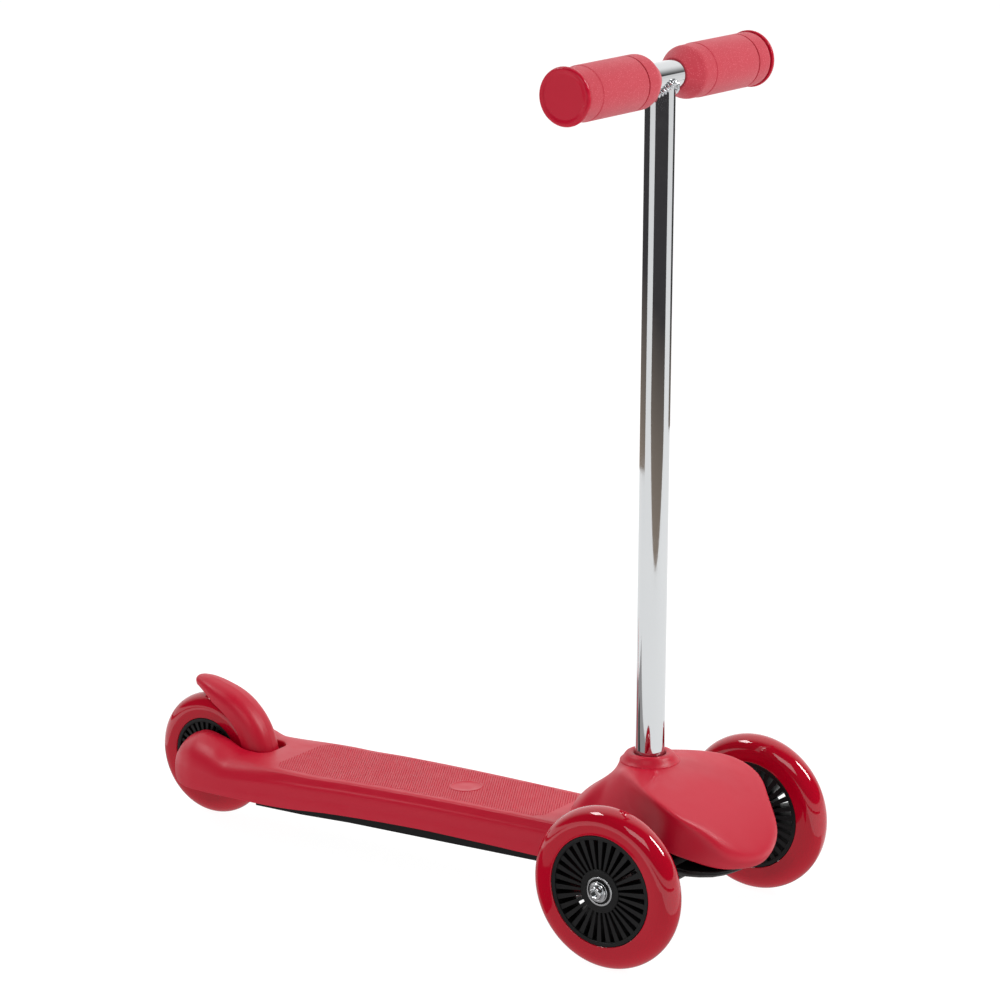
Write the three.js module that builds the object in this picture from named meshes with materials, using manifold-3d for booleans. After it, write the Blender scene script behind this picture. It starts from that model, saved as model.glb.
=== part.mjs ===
// Three wheel kids scooter: two front wheels on a lean-to-steer truck, one rear wheel in a forked deck.
// Millimetres, +Z up, +X towards the front wheels, +Y to the rider's left. Inside the group the front
// axle is at x = 0 and the ground at z = 0; the group then moves the middle of the length to x = 0.
import * as THREE from 'three';
import { mergeVertices } from 'three/addons/utils/BufferGeometryUtils.js';
import Module from 'manifold-3d';

const wasm = await Module();
wasm.setup();

// Clearances
const seat = 0.3; // gap between pieces that touch
const overrun = 3; // how far a cutting shape passes the face that it cuts

// Wheels and bearings
const frontRadius = 61;
const rearRadius = 50;
const tyreWidth = 24;
const tyreSeatDepth = 19; // from the tread in to the hub's rim
const hubWidth = 23;
const slotCount = 30;
const slotInnerRadius = 15.5;
const slotRimWall = 4;
const slotFill = 0.5; // open share of the slots' pitch
const bearingRadius = 11;
const bearingWidth = 7;
const boltRadius = 4;
const bearingRaceWall = 2.2;

// Stance
const wheelbase = 448.5;
const track = 207.5;
const stemX = -31.5;

// Handlebar
const barHeight = 635;
const barLength = 249; // over the end caps
const stemRadius = 11;
const stemWall = 1.5;
const barRadius = 11;
const barWall = 1.5;
const gripRadius = 20;
const gripInnerEnd = 28.5; // from the stem's middle to the foot of each grip's inner cone
const gripConeLength = 11;
const gripConeRadius = 13;
const gripBand = 16.5; // end bands of a grip
const gripStep = 0.6;
const gripGroove = 1.2;
const gripEdge = 4;
const capRadius = 21.2;
const capThickness = 4;
const capPlugLength = 14;
const insertLength = 17.6; // threaded plug in the stem's foot

// Deck
const deckHalfWidth = 48.5;
const deckTop = 72;
const deckWall = 3;
const deckFrontX = -48;
const deckTail = 21.5; // from the rear axle to the deck's rear end
const deckBaseFront = 45.5; // height of the lower edge at the front end
const deckBaseFall = 13; // how far the lower edge falls on its way to the rear end
const slotHalfWidth = 17; // wheel slot of the fork
const slotReach = 68; // from the rear axle forward to the slot's end
const slotCornerRadius = 7;
const plateThickness = 2.8;
const plateInset = 1.5;
const plateRearGap = 8.5; // from the slot's end to the plate
const plateFrontGap = 4; // from the deck's front end to the plate
const plateScrewY = 28;
const cupWall = 1.6; // round the sunk heads of the plate's screws
const saddleRadius = 10;
const clampBehind = 8; // how far a clamp reaches behind and ahead of the rear axle
const clampAhead = 14;

// Nose cover and collar
const noseReach = 98.5; // from the stem's middle to the front
const noseTop = 124;
const noseLow = 60;
const noseWall = 2.5;
const noseHoleRadius = 13.5;
const trayHalfAngle = 36;
const trayGap = 6; // behind the tray, to the beam
const collarBaseRadius = 22;
const collarTopRadius = 18.3;
const collarHeight = 7;
const collarBore = 12.2;
const trayBottom = 54.5;
const trayTop = 61;

// Front frame, truck and steering pivot
const columnRadius = 15.5;
const columnBottom = 40;
const socketFloor = 80;
const pivotHeight = 70; // height of the pivot axis over the front axle
const pivotTilt = THREE.MathUtils.degToRad(25); // rise of the axis towards the front
const pivotBossRadius = 13;
const pivotRear = -10; // ends of the truck's boss along the axis
const pivotFront = 22;
const pivotPinTail = -24.5;
const earThickness = 9;
const bridgeBottom = 98;
const bridgeHeight = 7;
const bridgeHalfWidth = 14;
const wingHalfWidth = 37;
const wingHalfLength = 12;
const beamGap = 9.25; // from the beam's end to the hub beside it
const beamHalfDepth = 13;
const axleBossLength = 24;
const beamBottom = 43;
const beamTop = 70;
const axleBossRadius = 14;
const bufferRadius = 8;
const bufferY = 27;
const tongueBottom = 50;
const tongueHeight = 6;
const tongueHalfWidth = 16;
const tongueRearX = -100;

// Brake lever
const brakePivotReach = 58; // from the rear axle forward to the hinge
const brakePivotZ = 54;
const brakeOuterRadius = 61.5; // about the rear wheel's middle
const brakeHalfWidth = 15.3;
const brakeSkirtDepth = 19.5;
const brakeWall = 2.2;
const brakeCrown = 3.2;
const brakeStartDeg = 13;
const brakeEndDeg = 104;
const brakeTipLift = 1.2;
const brakeBarrelRadius = 6.3;
const brakePinRadius = 2.5;
const padInnerRadius = 55;
const padHalfWidth = 6;
const padEdge = 1;
const padFromDeg = 38;
const padToDeg = 62;
const springWire = 0.8;
const springCoilRadius = 4.6;
const springTurns = 3;
const springPitch = 2.4;

// Fasteners
const screwRadius = 1.6;
const screwHeadRadius = 3.6;
const screwHeadHeight = 2;
const bossRadius = 4.6;
const nutRadius = 7.5; // over the corners
const nutHeight = 6.5;
const headRadius = 7;
const headHeight = 4.4;
const washerRadius = 7.8;
const washerThickness = 1.2;

// Smoothness
const tyreSteps = 36;
const roundSteps = 20;
const smallSteps = 12;
const screwSteps = 8;
const arcSteps = 6;
const deckSteps = 21;
const deckCavitySteps = 11;
const noseSteps = 32;
const brakeSteps = 11;
const springSteps = 10; // for each turn
const wireSteps = 3;
const plateSteps = 14;
const padSteps = 4;
const hexSides = 6;

// Places that follow from the dimensions above
const deckRearX = -wheelbase - deckTail;
const slotFrontX = -wheelbase + slotReach;
const plateRearX = slotFrontX + plateRearGap;
const plateFrontX = deckFrontX - plateFrontGap;
const brakePivotX = -wheelbase + brakePivotReach;
const beamHalfLength = (track - hubWidth) / 2 - beamGap;

// Shapes given as shares. Along the deck, 0 is its front end and 1 its rear end.
const deckWidthShares = [[0, 0.82], [0.15, 0.845], [0.34, 0.9], [0.56, 0.97], [0.7, 1], [0.84, 1],
  [0.917, 0.96], [0.953, 0.87], [0.976, 0.75], [0.993, 0.6], [1, 0.46]];
const deckTopShares = [[0, 1], [0.16, 0.99], [0.36, 0.97], [0.56, 0.93], [0.67, 0.898], [0.78, 0.9],
  [0.84, 0.905], [0.885, 0.995], [0.93, 1.04], [0.957, 0.99], [0.981, 0.895], [0.995, 0.778], [1, 0.72]];
const deckBaseShares = [[0, 0], [0.94, 0], [0.965, 0.02], [0.983, 0.08], [0.995, 0.19], [1, 0.28]];
const armCrownShares = [[0, 0], [0.66, 0], [0.89, 1], [1, 1]];
const deckSectionShares = [[0, 1], [0.42, 1], [0.6, 1], [0.8, 1], [0.855, 0.975], [0.91, 0.86],
  [0.965, 0.67], [1, 0.45], [0.99, 0.2], [0.945, 0]];
const armSectionShares = [[0, 1], [0.4, 1], [0.53, 0.985], [0.7, 0.91], [0.8, 0.83], [0.89, 0.72],
  [0.96, 0.58], [1, 0.42], [0.99, 0.2], [0.935, 0]];

// Round the nose, by the angle in degrees from straight ahead: radii as shares of the reach, heights as
// shares of the way from the lowest edge to the top.
const shoulderShares = [[0, 1], [20, 0.995], [30, 0.944], [38, 0.873], [46, 0.761], [57, 0.629],
  [76, 0.45], [100, 0.355], [120, 0.305], [150, 0.29], [180, 0.305]];
const levelShares = [[0, 0.22], [20, 0.28], [30, 0.4], [38, 0.55], [46, 0.67], [57, 0.77],
  [76, 0.81], [100, 0.78], [120, 0.75], [150, 0.72], [180, 0.7]];
const waistShares = [[0, 1.01], [20, 1.005], [30, 0.945], [38, 0.845], [46, 0.71], [57, 0.56],
  [76, 0.4], [100, 0.335], [120, 0.345], [150, 0.42], [180, 0.54]];
const skirtShares = [[0, 0.965], [20, 0.96], [30, 0.9], [38, 0.82], [46, 0.725], [57, 0.63],
  [76, 0.53], [100, 0.44], [120, 0.41], [150, 0.63], [180, 0.73]];
const skirtLevelShares = [[0, 0.03], [20, 0.055], [30, 0.115], [38, 0.175], [46, 0.235], [57, 0.36],
  [76, 0.38], [100, 0.28], [120, 0], [180, 0]];
const noseRoundness = [[0, 2.1], [20, 2.2], [30, 2.4], [38, 2.8], [46, 3.2], [57, 3.5],
  [76, 3.6], [100, 3], [120, 2.4], [150, 2], [180, 1.8]];
const deckBlendShares = [[92, 0], [106, 1]]; // from the skirt's own height to the deck's top

// Shares of one dimension taken for another
const beamDepthShares = [[0, 1], [0.42, 1], [1, 0.62]]; // of the half depth, along the half length
const beamEdgeShare = 0.2;
const headCrownShare = 0.6;
const capFlatShare = 0.8;
const trayRingShares = [0.8, 0.95, 1];
const tongueScrewShares = [0.32, 0.82];
const plateScrewShares = [0.072, 0.4375, 0.8125];
const plateWidthShare = 0.945;
const saddleReachShare = 0.84;
const axleReachShare = 0.665;
const hingeWebShare = 0.8;

// Along the brake lever, 0 is the hinge end and 1 the tip.
const brakeWidthShares = [[0, 1], [0.5, 1], [0.72, 0.93], [0.86, 0.76], [0.95, 0.52], [1, 0.26]];
const brakeSkirtShares = [[0, 1], [0.3, 0.92], [0.65, 0.78], [0.8, 0.6], [0.9, 0.4], [1, 0.22]];
const brakeSectionShares = [[1, 0], [1, 0.3], [0.92, 0.58], [0.7, 0.81], [0.38, 0.95], [0, 1]];
const brakeLiftShares = [[0, 0], [0.8, 0], [1, 1]];

// Finishes
const finish = (color, roughness, metalness = 0) =>
  new THREE.MeshStandardMaterial({ color, roughness, metalness });
const redPlastic = finish('#c8323e', 0.45);
const redTyre = finish('#b01226', 0.15);
const redFoam = finish('#cf5160', 0.9);
const blackPlastic = finish('#1d1e20', 0.55);
const chrome = finish('#d9dcdf', 0.08, 1);
const zincSteel = finish('#b4b7ba', 0.3, 1);
const blackRubber = finish('#141414', 0.85);

const scooter = new THREE.Group();
scooter.position.x = (wheelbase + rearRadius - noseReach - stemX) / 2;

function place(name, geometry, material, position = [0, 0, 0]) {
  const mesh = new THREE.Mesh(geometry, material);
  mesh.name = name;
  mesh.position.set(...position);
  scooter.add(mesh);
  return mesh;
}

// Smooth curve through a table of [place, value] pairs, level at both ends.
function smooth(table, at) {
  const last = table.length - 1;
  if (at <= table[0][0]) return table[0][1];
  if (at >= table[last][0]) return table[last][1];
  const slope = (i) => (table[i + 1][1] - table[i][1]) / (table[i + 1][0] - table[i][0]);
  const tangent = (i) => {
    if (i === 0 || i === last || slope(i - 1) * slope(i) <= 0) return 0;
    return 2 * slope(i - 1) * slope(i) / (slope(i - 1) + slope(i));
  };
  let i = 0;
  while (table[i + 1][0] < at) i += 1;
  const run = table[i + 1][0] - table[i][0];
  const t = (at - table[i][0]) / run;
  const rise = t * t * (3 - 2 * t);
  return table[i][1] * (1 - rise) + table[i + 1][1] * rise
    + run * t * (1 - t) * (tangent(i) * (1 - t) - tangent(i + 1) * t);
}

// Booleans
function solid(geometry) {
  const bare = geometry.clone();
  bare.deleteAttribute('normal');
  bare.deleteAttribute('uv');
  const merged = mergeVertices(bare);
  return new wasm.Manifold(new wasm.Mesh({
    numProp: 3,
    vertProperties: new Float32Array(merged.attributes.position.array),
    triVerts: new Uint32Array(merged.index.array),
  }));
}

function surface(manifold) {
  const mesh = manifold.getMesh();
  const geometry = new THREE.BufferGeometry();
  geometry.setAttribute('position', new THREE.BufferAttribute(mesh.vertProperties, 3));
  geometry.setIndex(new THREE.BufferAttribute(mesh.triVerts, 1));
  geometry.computeVertexNormals();
  return geometry;
}

const joined = (...geometries) => geometries.map(solid).reduce((a, b) => a.add(b));
const cut = (body, ...tools) => tools.reduce((rest, tool) => rest.subtract(solid(tool)), body);

// A closed skin over rings of points, facing outwards whichever way the rings run. A solid section's ends
// are fans, a channel's ends are strips between its outer and inner halves, and a loop has no ends.
function skin(rings, ends = 'fans') {
  const count = rings[0].length;
  const points = rings.flat();
  const faces = [];
  const spans = ends === 'loop' ? rings.length : rings.length - 1;
  for (let i = 0; i < spans; i += 1) {
    const a = i * count;
    const b = ((i + 1) % rings.length) * count;
    for (let j = 0; j < count; j += 1) {
      const k = (j + 1) % count;
      faces.push([a + j, b + j, b + k], [a + j, b + k, a + k]);
    }
  }
  const lastStart = points.length - count;
  if (ends === 'fans') {
    const middle = (ring) => ring.reduce((sum, p) => sum.map((v, i) => v + p[i] / count), [0, 0, 0]);
    const first = points.push(middle(rings[0])) - 1;
    const final = points.push(middle(rings.at(-1))) - 1;
    for (let j = 0; j < count; j += 1) {
      const k = (j + 1) % count;
      faces.push([first, j, k], [final, lastStart + k, lastStart + j]);
    }
  }
  if (ends === 'strips') {
    for (let i = 0; i < count / 2 - 1; i += 1) {
      const [p, q, r, t] = [i, i + 1, count - 2 - i, count - 1 - i];
      faces.push([p, q, r], [p, r, t]);
      const [pEnd, qEnd, rEnd, tEnd] = [p, q, r, t].map((corner) => lastStart + corner);
      faces.push([qEnd, pEnd, tEnd], [qEnd, tEnd, rEnd]);
    }
  }
  const volume = faces.reduce((sum, face) => {
    const [a, b, c] = face.map((i) => new THREE.Vector3(...points[i]));
    return sum + a.dot(b.cross(c));
  }, 0);
  const outward = volume > 0 ? faces : faces.map(([a, b, c]) => [a, c, b]);
  const geometry = new THREE.BufferGeometry();
  geometry.setAttribute('position', new THREE.Float32BufferAttribute(points.flat(), 3));
  geometry.setIndex(outward.flat());
  return geometry;
}

// Basic shapes: a block between two corners, and round bars along each axis.
function block(low, high) {
  const size = high.map((v, i) => v - low[i]);
  const geometry = new THREE.BoxGeometry(...size);
  return geometry.translate(...low.map((v, i) => v + size[i] / 2));
}

function upright(radius, bottom, top, x = 0, y = 0, sides = smallSteps) {
  const geometry = new THREE.CylinderGeometry(radius, radius, top - bottom, sides);
  return geometry.rotateX(Math.PI / 2).translate(x, y, (top + bottom) / 2);
}

function crosswise(radius, right, left, x = 0, z = 0, sides = roundSteps) {
  const geometry = new THREE.CylinderGeometry(radius, radius, left - right, sides);
  return geometry.translate(x, (left + right) / 2, z);
}

// A ring turned about the Y axis from [radius, y] pairs, listed round the section.
function turned(section, sides = roundSteps) {
  const area = section.reduce((sum, [r, y], i) => {
    const [nextR, nextY] = section[(i + 1) % section.length];
    return sum + r * nextY - nextR * y;
  }, 0);
  const ordered = area > 0 ? section : [...section].reverse();
  const points = [...ordered, ordered[0]].map(([r, y]) => new THREE.Vector2(r, y));
  return new THREE.LatheGeometry(points, sides);
}

const standing = (section, sides) => turned(section, sides).rotateX(Math.PI / 2);
const ring = (inner, outer, low, high) => [[inner, low], [outer, low], [outer, high], [inner, high]];

// Wheels: each has a tyre, a slotted hub, two ball bearings and the tube that keeps them apart.
function tyreSection(radius) {
  const half = tyreWidth / 2;
  const seatRadius = radius - tyreSeatDepth;
  const section = [[seatRadius, half - seat], [seatRadius, seat - half]];
  for (let i = 0; i <= arcSteps; i += 1) {
    const turn = Math.PI * (i / arcSteps - 0.5);
    section.push([radius - half + half * Math.cos(turn), half * Math.sin(turn)]);
  }
  return section;
}

function hubGeometry(radius) {
  const rim = radius - tyreSeatDepth - seat;
  const outline = new THREE.Shape().absarc(0, 0, rim, 0, 2 * Math.PI);
  outline.holes.push(new THREE.Path().absarc(0, 0, bearingRadius + seat, 0, 2 * Math.PI, true));
  const pitch = 2 * Math.PI / slotCount;
  const slotOuterRadius = rim - slotRimWall;
  for (let i = 0; i < slotCount; i += 1) {
    const corner = (r, side) => {
      const turn = i * pitch + side * slotFill * pitch / 2;
      return new THREE.Vector2(r * Math.cos(turn), r * Math.sin(turn));
    };
    outline.holes.push(new THREE.Path([corner(slotInnerRadius, -1), corner(slotInnerRadius, 1),
      corner(slotOuterRadius, 1), corner(slotOuterRadius, -1)]));
  }
  const options = { depth: hubWidth, bevelEnabled: false, curveSegments: roundSteps / 2 };
  return new THREE.ExtrudeGeometry(outline, options).translate(0, 0, -hubWidth / 2).rotateX(Math.PI / 2);
}

function wheel(name, radius, position) {
  const half = hubWidth / 2;
  const bearing = ring(boltRadius + seat, bearingRadius, -bearingWidth / 2, bearingWidth / 2);
  const tubeHalf = half - bearingWidth - seat;
  const [x, y, z] = position;
  place(`${name}_tyre`, turned(tyreSection(radius), tyreSteps), redTyre, position);
  place(`${name}_hub`, hubGeometry(radius), blackPlastic, position);
  place(`${name}_bearing_left`, turned(bearing), zincSteel, [x, y + half - bearingWidth / 2, z]);
  place(`${name}_bearing_right`, turned(bearing), zincSteel, [x, y - half + bearingWidth / 2, z]);
  const tube = ring(boltRadius + seat, boltRadius + bearingRaceWall, -tubeHalf, tubeHalf);
  place(`${name}_bearing_spacer`, turned(tube, smallSteps), zincSteel, position);
}

wheel('front_wheel_left', frontRadius, [0, track / 2, frontRadius]);
wheel('front_wheel_right', frontRadius, [0, -track / 2, frontRadius]);
wheel('rear_wheel', rearRadius, [-wheelbase, 0, rearRadius]);

// Steering pivot: a point at a distance along the tilted axis, and bars turned onto it.
const onPivot = (along) => [along * Math.cos(pivotTilt), 0, pivotHeight + along * Math.sin(pivotTilt)];

function tilted(radius, from, to, sides = 2 * screwSteps) {
  const geometry = new THREE.CylinderGeometry(radius, radius, to - from, sides);
  return geometry.rotateZ(pivotTilt - Math.PI / 2).rotateX(Math.PI / 2)
    .translate(...onPivot((from + to) / 2));
}

// Truck beam: a wide arm to each front wheel, an axle boss at each end and the pivot's boss in the middle.
const beamArm = (side) => skin(beamDepthShares.map(([along, depth]) => {
  const y = side * along * beamHalfLength;
  const x = depth * beamHalfDepth;
  const edge = (beamTop - beamBottom) * beamEdgeShare;
  return [[-x + edge, y, beamBottom], [x - edge, y, beamBottom], [x, y, beamBottom + edge],
    [x, y, beamTop - edge], [x - edge, y, beamTop], [-x + edge, y, beamTop],
    [-x, y, beamTop - edge], [-x, y, beamBottom + edge]];
}));
const axleBoss = (side) => {
  const inner = side * (beamHalfLength - axleBossLength);
  const outer = side * (beamHalfLength + seat);
  return crosswise(axleBossRadius, Math.min(inner, outer), Math.max(inner, outer), 0, frontRadius);
};
const nutPocketInner = beamHalfLength - axleBossLength - nutHeight - 2 * seat;
const nutPocket = (side) => {
  const near = side * nutPocketInner;
  const far = side * (nutPocketInner + nutHeight + 2 * seat);
  return block([-nutRadius, Math.min(near, far), beamBottom - overrun],
    [nutRadius, Math.max(near, far), frontRadius + nutRadius]);
};
const beamArms = cut(joined(beamArm(1), beamArm(-1), axleBoss(1), axleBoss(-1)),
  tilted(pivotBossRadius + 2 * seat, pivotPinTail, pivotRear + seat));
place('truck_beam', surface(cut(beamArms.add(solid(tilted(pivotBossRadius, pivotRear + seat, pivotFront))),
  tilted(boltRadius + seat, pivotPinTail, pivotFront + overrun, smallSteps),
  crosswise(boltRadius + seat, nutPocketInner, beamHalfLength + overrun, 0, frontRadius, smallSteps),
  crosswise(boltRadius + seat, -beamHalfLength - overrun, -nutPocketInner, 0, frontRadius, smallSteps),
  nutPocket(1), nutPocket(-1))), blackPlastic);

// Front axle bolts: a domed head outside each wheel, a washer under it and a nut in the beam's pocket.
const frontHubFace = track / 2 + hubWidth / 2;
for (const [side, name] of [[1, 'left'], [-1, 'right']]) {
  const washerBase = frontHubFace + seat;
  const headBase = washerBase + washerThickness + seat;
  const headTop = headBase + headHeight;
  const shankEnd = nutPocketInner + seat;
  const onSide = (section) => turned(section.map(([r, y]) => [r, side * y]), smallSteps);
  const bolt = onSide([[0, shankEnd], [boltRadius, shankEnd], [boltRadius, headBase], [headRadius, headBase],
    [headRadius, headBase + headHeight / 3], [headRadius * headCrownShare, headTop], [0, headTop]]);
  const washer = onSide(ring(boltRadius + seat, washerRadius, washerBase, washerBase + washerThickness));
  place(`front_axle_bolt_${name}`, bolt, zincSteel, [0, 0, frontRadius]);
  place(`front_axle_washer_${name}`, washer, zincSteel, [0, 0, frontRadius]);
  const nutEnds = [side * shankEnd, side * (shankEnd + nutHeight)].sort((a, b) => a - b);
  const hexagon = solid(crosswise(nutRadius - seat, ...nutEnds, 0, 0, hexSides));
  const bore = crosswise(boltRadius + seat, nutEnds[0] - overrun, nutEnds[1] + overrun, 0, 0, smallSteps);
  place(`front_axle_nut_${name}`, surface(cut(hexagon, bore)), zincSteel, [0, 0, frontRadius]);
}

// Front frame: the column that takes the stem, the bridge and ear that carry the pivot, and a tongue
// that runs back under the deck.
const columnTop = noseTop - noseWall - seat;
const earTop = bridgeBottom + bridgeHeight;
const ear = (from) => {
  const [x, , z] = onPivot(from);
  const reach = earThickness / Math.cos(pivotTilt);
  return block([x, -bridgeHalfWidth + seat, z], [x + reach, bridgeHalfWidth - seat, earTop]);
};
const frameBody = joined(
  upright(columnRadius, columnBottom, columnTop, stemX, 0, roundSteps),
  tilted(pivotBossRadius, pivotPinTail, pivotRear),
  tilted(pivotBossRadius, pivotFront + seat, pivotFront + seat + earThickness),
  ear(pivotFront + 2 * seat),
  block([stemX, -bridgeHalfWidth, bridgeBottom],
    [onPivot(pivotFront + earThickness)[0], bridgeHalfWidth, earTop]),
  block([-wingHalfLength, -wingHalfWidth, bridgeBottom], [wingHalfLength, wingHalfWidth, earTop]),
  block([tongueRearX, -tongueHalfWidth, tongueBottom], [stemX, tongueHalfWidth, tongueBottom + tongueHeight]),
);
const stemBoltHead = columnBottom + headHeight + 2 * seat;
const tongueScrewX = tongueScrewShares.map((share) => deckFrontX + share * (tongueRearX - deckFrontX));
const pinHeadBase = pivotFront + earThickness + 2 * seat;
const truckSweep = tilted(pivotBossRadius + 2 * seat, pivotRear, pivotFront + seat);
place('front_frame', surface(cut(frameBody,
  truckSweep,
  upright(stemRadius + seat, socketFloor, columnTop + overrun, stemX, 0, roundSteps),
  upright(boltRadius + seat, columnBottom - overrun, socketFloor + overrun, stemX),
  upright(headRadius + seat, columnBottom - overrun, stemBoltHead, stemX),
  tilted(boltRadius + seat, pivotPinTail - seat, pinHeadBase, smallSteps),
  tilted(nutRadius + 2 * seat, pinHeadBase - seat, pinHeadBase + 2 * nutHeight),
  ...tongueScrewX.map((x) => upright(screwRadius + seat, tongueBottom - overrun,
    tongueBottom + tongueHeight + overrun, x, 0, screwSteps)),
)), blackPlastic);

// Kingpin bolt, with its hexagon head in front of the ear.
place('kingpin_bolt', surface(joined(
  tilted(boltRadius, pivotPinTail, pinHeadBase + headHeight / 2, smallSteps),
  tilted(nutRadius, pinHeadBase, pinHeadBase + nutHeight, hexSides),
)), zincSteel);

// Rubber buffers between the beam and the frame's wings push the truck back to the middle.
for (const [side, name] of [[1, 'left'], [-1, 'right']]) {
  place(`steer_buffer_${name}`, upright(bufferRadius, beamTop + seat, bridgeBottom - seat, 0, side * bufferY),
    blackRubber);
}

// Handlebar: stem tube, crossbar, foam grips and push-in end caps.
const stemPipe = standing(ring(stemRadius - stemWall, stemRadius, socketFloor + seat, barHeight));
place('stem_tube', surface(cut(solid(stemPipe),
  crosswise(barRadius + seat, -2 * stemRadius, 2 * stemRadius, 0, barHeight))), chrome, [stemX, 0, 0]);

place('stem_thread_insert', standing(ring(boltRadius + seat, stemRadius - stemWall - seat, socketFloor + seat,
  socketFloor + insertLength), smallSteps), zincSteel, [stemX, 0, 0]);
place('stem_bolt', surface(joined(
  upright(boltRadius, columnBottom + headHeight, socketFloor + insertLength),
  upright(headRadius, columnBottom + seat, columnBottom + headHeight + seat),
)), zincSteel, [stemX, 0, 0]);

const capInnerFace = barLength / 2 - capThickness;
const barEnd = capInnerFace - seat;
place('crossbar', turned(ring(barRadius - barWall, barRadius, -barEnd, barEnd)), chrome,
  [stemX, 0, barHeight]);

// A grip runs down to a cone at its inner end. On both grips a groove lies near the end towards the
// rider's left, and a thinner band at the other end.
const gripLength = capInnerFace - seat - gripInnerEnd;
function gripSection(side) {
  const half = gripLength / 2;
  const bore = barRadius + seat;
  const band = gripRadius - gripStep;
  const groove = half - gripBand;
  const floor = gripRadius - gripGroove;
  const shoulder = (radius, end) =>
    [[radius, end * (half - gripEdge)], [radius - gripEdge / 4, end * (half - gripEdge / 4)]];
  const cone = (radius, end) => [...shoulder(radius, end),
    [gripConeRadius, end * (half + gripConeLength)], [bore, end * (half + gripConeLength)]];
  const round = (radius, end) => [...shoulder(radius, end),
    [radius - gripEdge, end * half], [bore, end * half]];
  const [rightEnd, leftEnd] = side > 0 ? [cone, round] : [round, cone];
  return [...rightEnd(band, -1).reverse(), [band, gripBand - half], [gripRadius, gripBand + gripStep - half],
    [gripRadius, groove - gripGroove], [floor, groove - gripGroove / 2], [floor, groove + gripGroove / 2],
    [gripRadius, groove + gripGroove], ...leftEnd(gripRadius, 1)];
}
const capPlugRadius = barRadius - barWall - seat;
for (const [side, name] of [[1, 'left'], [-1, 'right']]) {
  const middle = side * (gripInnerEnd + gripLength / 2);
  place(`grip_${name}`, turned(gripSection(side)), redFoam, [stemX, middle, barHeight]);
  const dish = capThickness / 4;
  const face = side * capThickness;
  const cap = turned([[0, side * -capPlugLength], [capPlugRadius, side * -capPlugLength], [capPlugRadius, 0],
    [capRadius - capThickness / 3, 0], [capRadius, face / 3], [capRadius, face * 2 / 3],
    [capRadius - capThickness / 3, face], [capRadius * capFlatShare, face - side * dish],
    [0, face - side * dish]]);
  place(`grip_end_cap_${name}`, cap, redPlastic, [stemX, side * capInnerFace, barHeight]);
}

// Nose cover: radial sections round the stem, from the hole over the shoulder and down to the skirt.
function noseProfile(degrees) {
  const at = (table) => smooth(table, Math.abs(degrees));
  const height = (share) => noseLow + share * (noseTop - noseLow);
  const shoulder = at(shoulderShares) * noseReach;
  const waist = at(waistShares) * noseReach;
  const skirt = at(skirtShares) * noseReach;
  const level = height(at(levelShares));
  const deckContact = deckTop + seat;
  const behind = at(deckBlendShares);
  const skirtLevel = height(at(skirtLevelShares)) * (1 - behind) + deckContact * behind;
  const power = 2 / at(noseRoundness);
  const points = [[noseHoleRadius, noseTop]];
  for (let i = 0; i <= arcSteps; i += 1) {
    const turn = Math.PI / 2 * i / arcSteps;
    points.push([collarBaseRadius + (shoulder - collarBaseRadius) * Math.sin(turn) ** power,
      level + (noseTop - level) * Math.cos(turn) ** power]);
  }
  const wallSteps = Math.ceil(arcSteps / 2);
  for (let i = 1; i <= wallSteps; i += 1) {
    const t = i / wallSteps;
    points.push([shoulder * (1 - t) ** 2 + 2 * waist * t * (1 - t) + skirt * t * t,
      level + (skirtLevel - level) * t]);
  }
  return points;
}

// The same outline moved inwards by a wall's thickness, square to each stretch.
function inset(points, wall) {
  return points.map(([r, z], i) => {
    const [r0, z0] = points[Math.max(i - 1, 0)];
    const [r1, z1] = points[Math.min(i + 1, points.length - 1)];
    const length = Math.hypot(r1 - r0, z1 - z0);
    if (i === 0) return [r, z - wall];
    if (i === points.length - 1) return [r - wall, z];
    return [r + wall * (z1 - z0) / length, z - wall * (r1 - r0) / length];
  });
}

const noseRings = [];
for (let i = 0; i < noseSteps; i += 1) {
  const degrees = 360 * i / noseSteps - 180;
  const outer = noseProfile(degrees);
  const turn = THREE.MathUtils.degToRad(degrees);
  const loop = [...outer, ...inset(outer, noseWall).reverse()];
  noseRings.push(loop.map(([r, z]) => [stemX + r * Math.cos(turn), r * Math.sin(turn), z]));
}
place('nose_cover', skin(noseRings, 'loop'), redPlastic);

// Collar round the foot of the stem.
const collarBase = noseTop + seat;
const collarTop = collarBase + collarHeight;
const collarEdge = collarHeight / 8;
place('stem_collar', standing([[collarBore, collarBase], [collarBaseRadius, collarBase],
  [collarBaseRadius - collarEdge, collarBase + 2 * collarEdge], [collarTopRadius, collarTop - collarEdge],
  [collarTopRadius - collarEdge, collarTop], [collarBore + 2 * collarEdge, collarTop],
  [collarBore, collarTop - 2 * collarEdge]]), redPlastic, [stemX, 0, 0]);

// Tray that closes the nose from below, in front of the truck.
const trayBackX = beamHalfDepth + trayGap;
function trayRing(share, z) {
  const ringPoints = [];
  for (let i = 0; i <= 2 * arcSteps; i += 1) {
    const degrees = trayHalfAngle * (i / arcSteps - 1);
    const turn = THREE.MathUtils.degToRad(degrees);
    const reach = share * (smooth(skirtShares, Math.abs(degrees)) * noseReach - noseWall - 4 * seat);
    ringPoints.push([Math.max(stemX + reach * Math.cos(turn), trayBackX + seat), reach * Math.sin(turn), z]);
  }
  const [, firstY] = ringPoints[0];
  ringPoints.push([trayBackX, -firstY, z], [trayBackX, firstY, z]);
  return ringPoints;
}
const trayLevels = [trayBottom, (trayTop + trayBottom) / 2, trayTop];
const trayRings = trayLevels.map((z, i) => trayRing(trayRingShares[i], z));
place('nose_tray', skin([...trayRings, trayRing(trayRingShares.at(-1), trayTop + noseWall)]), blackPlastic);

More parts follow.
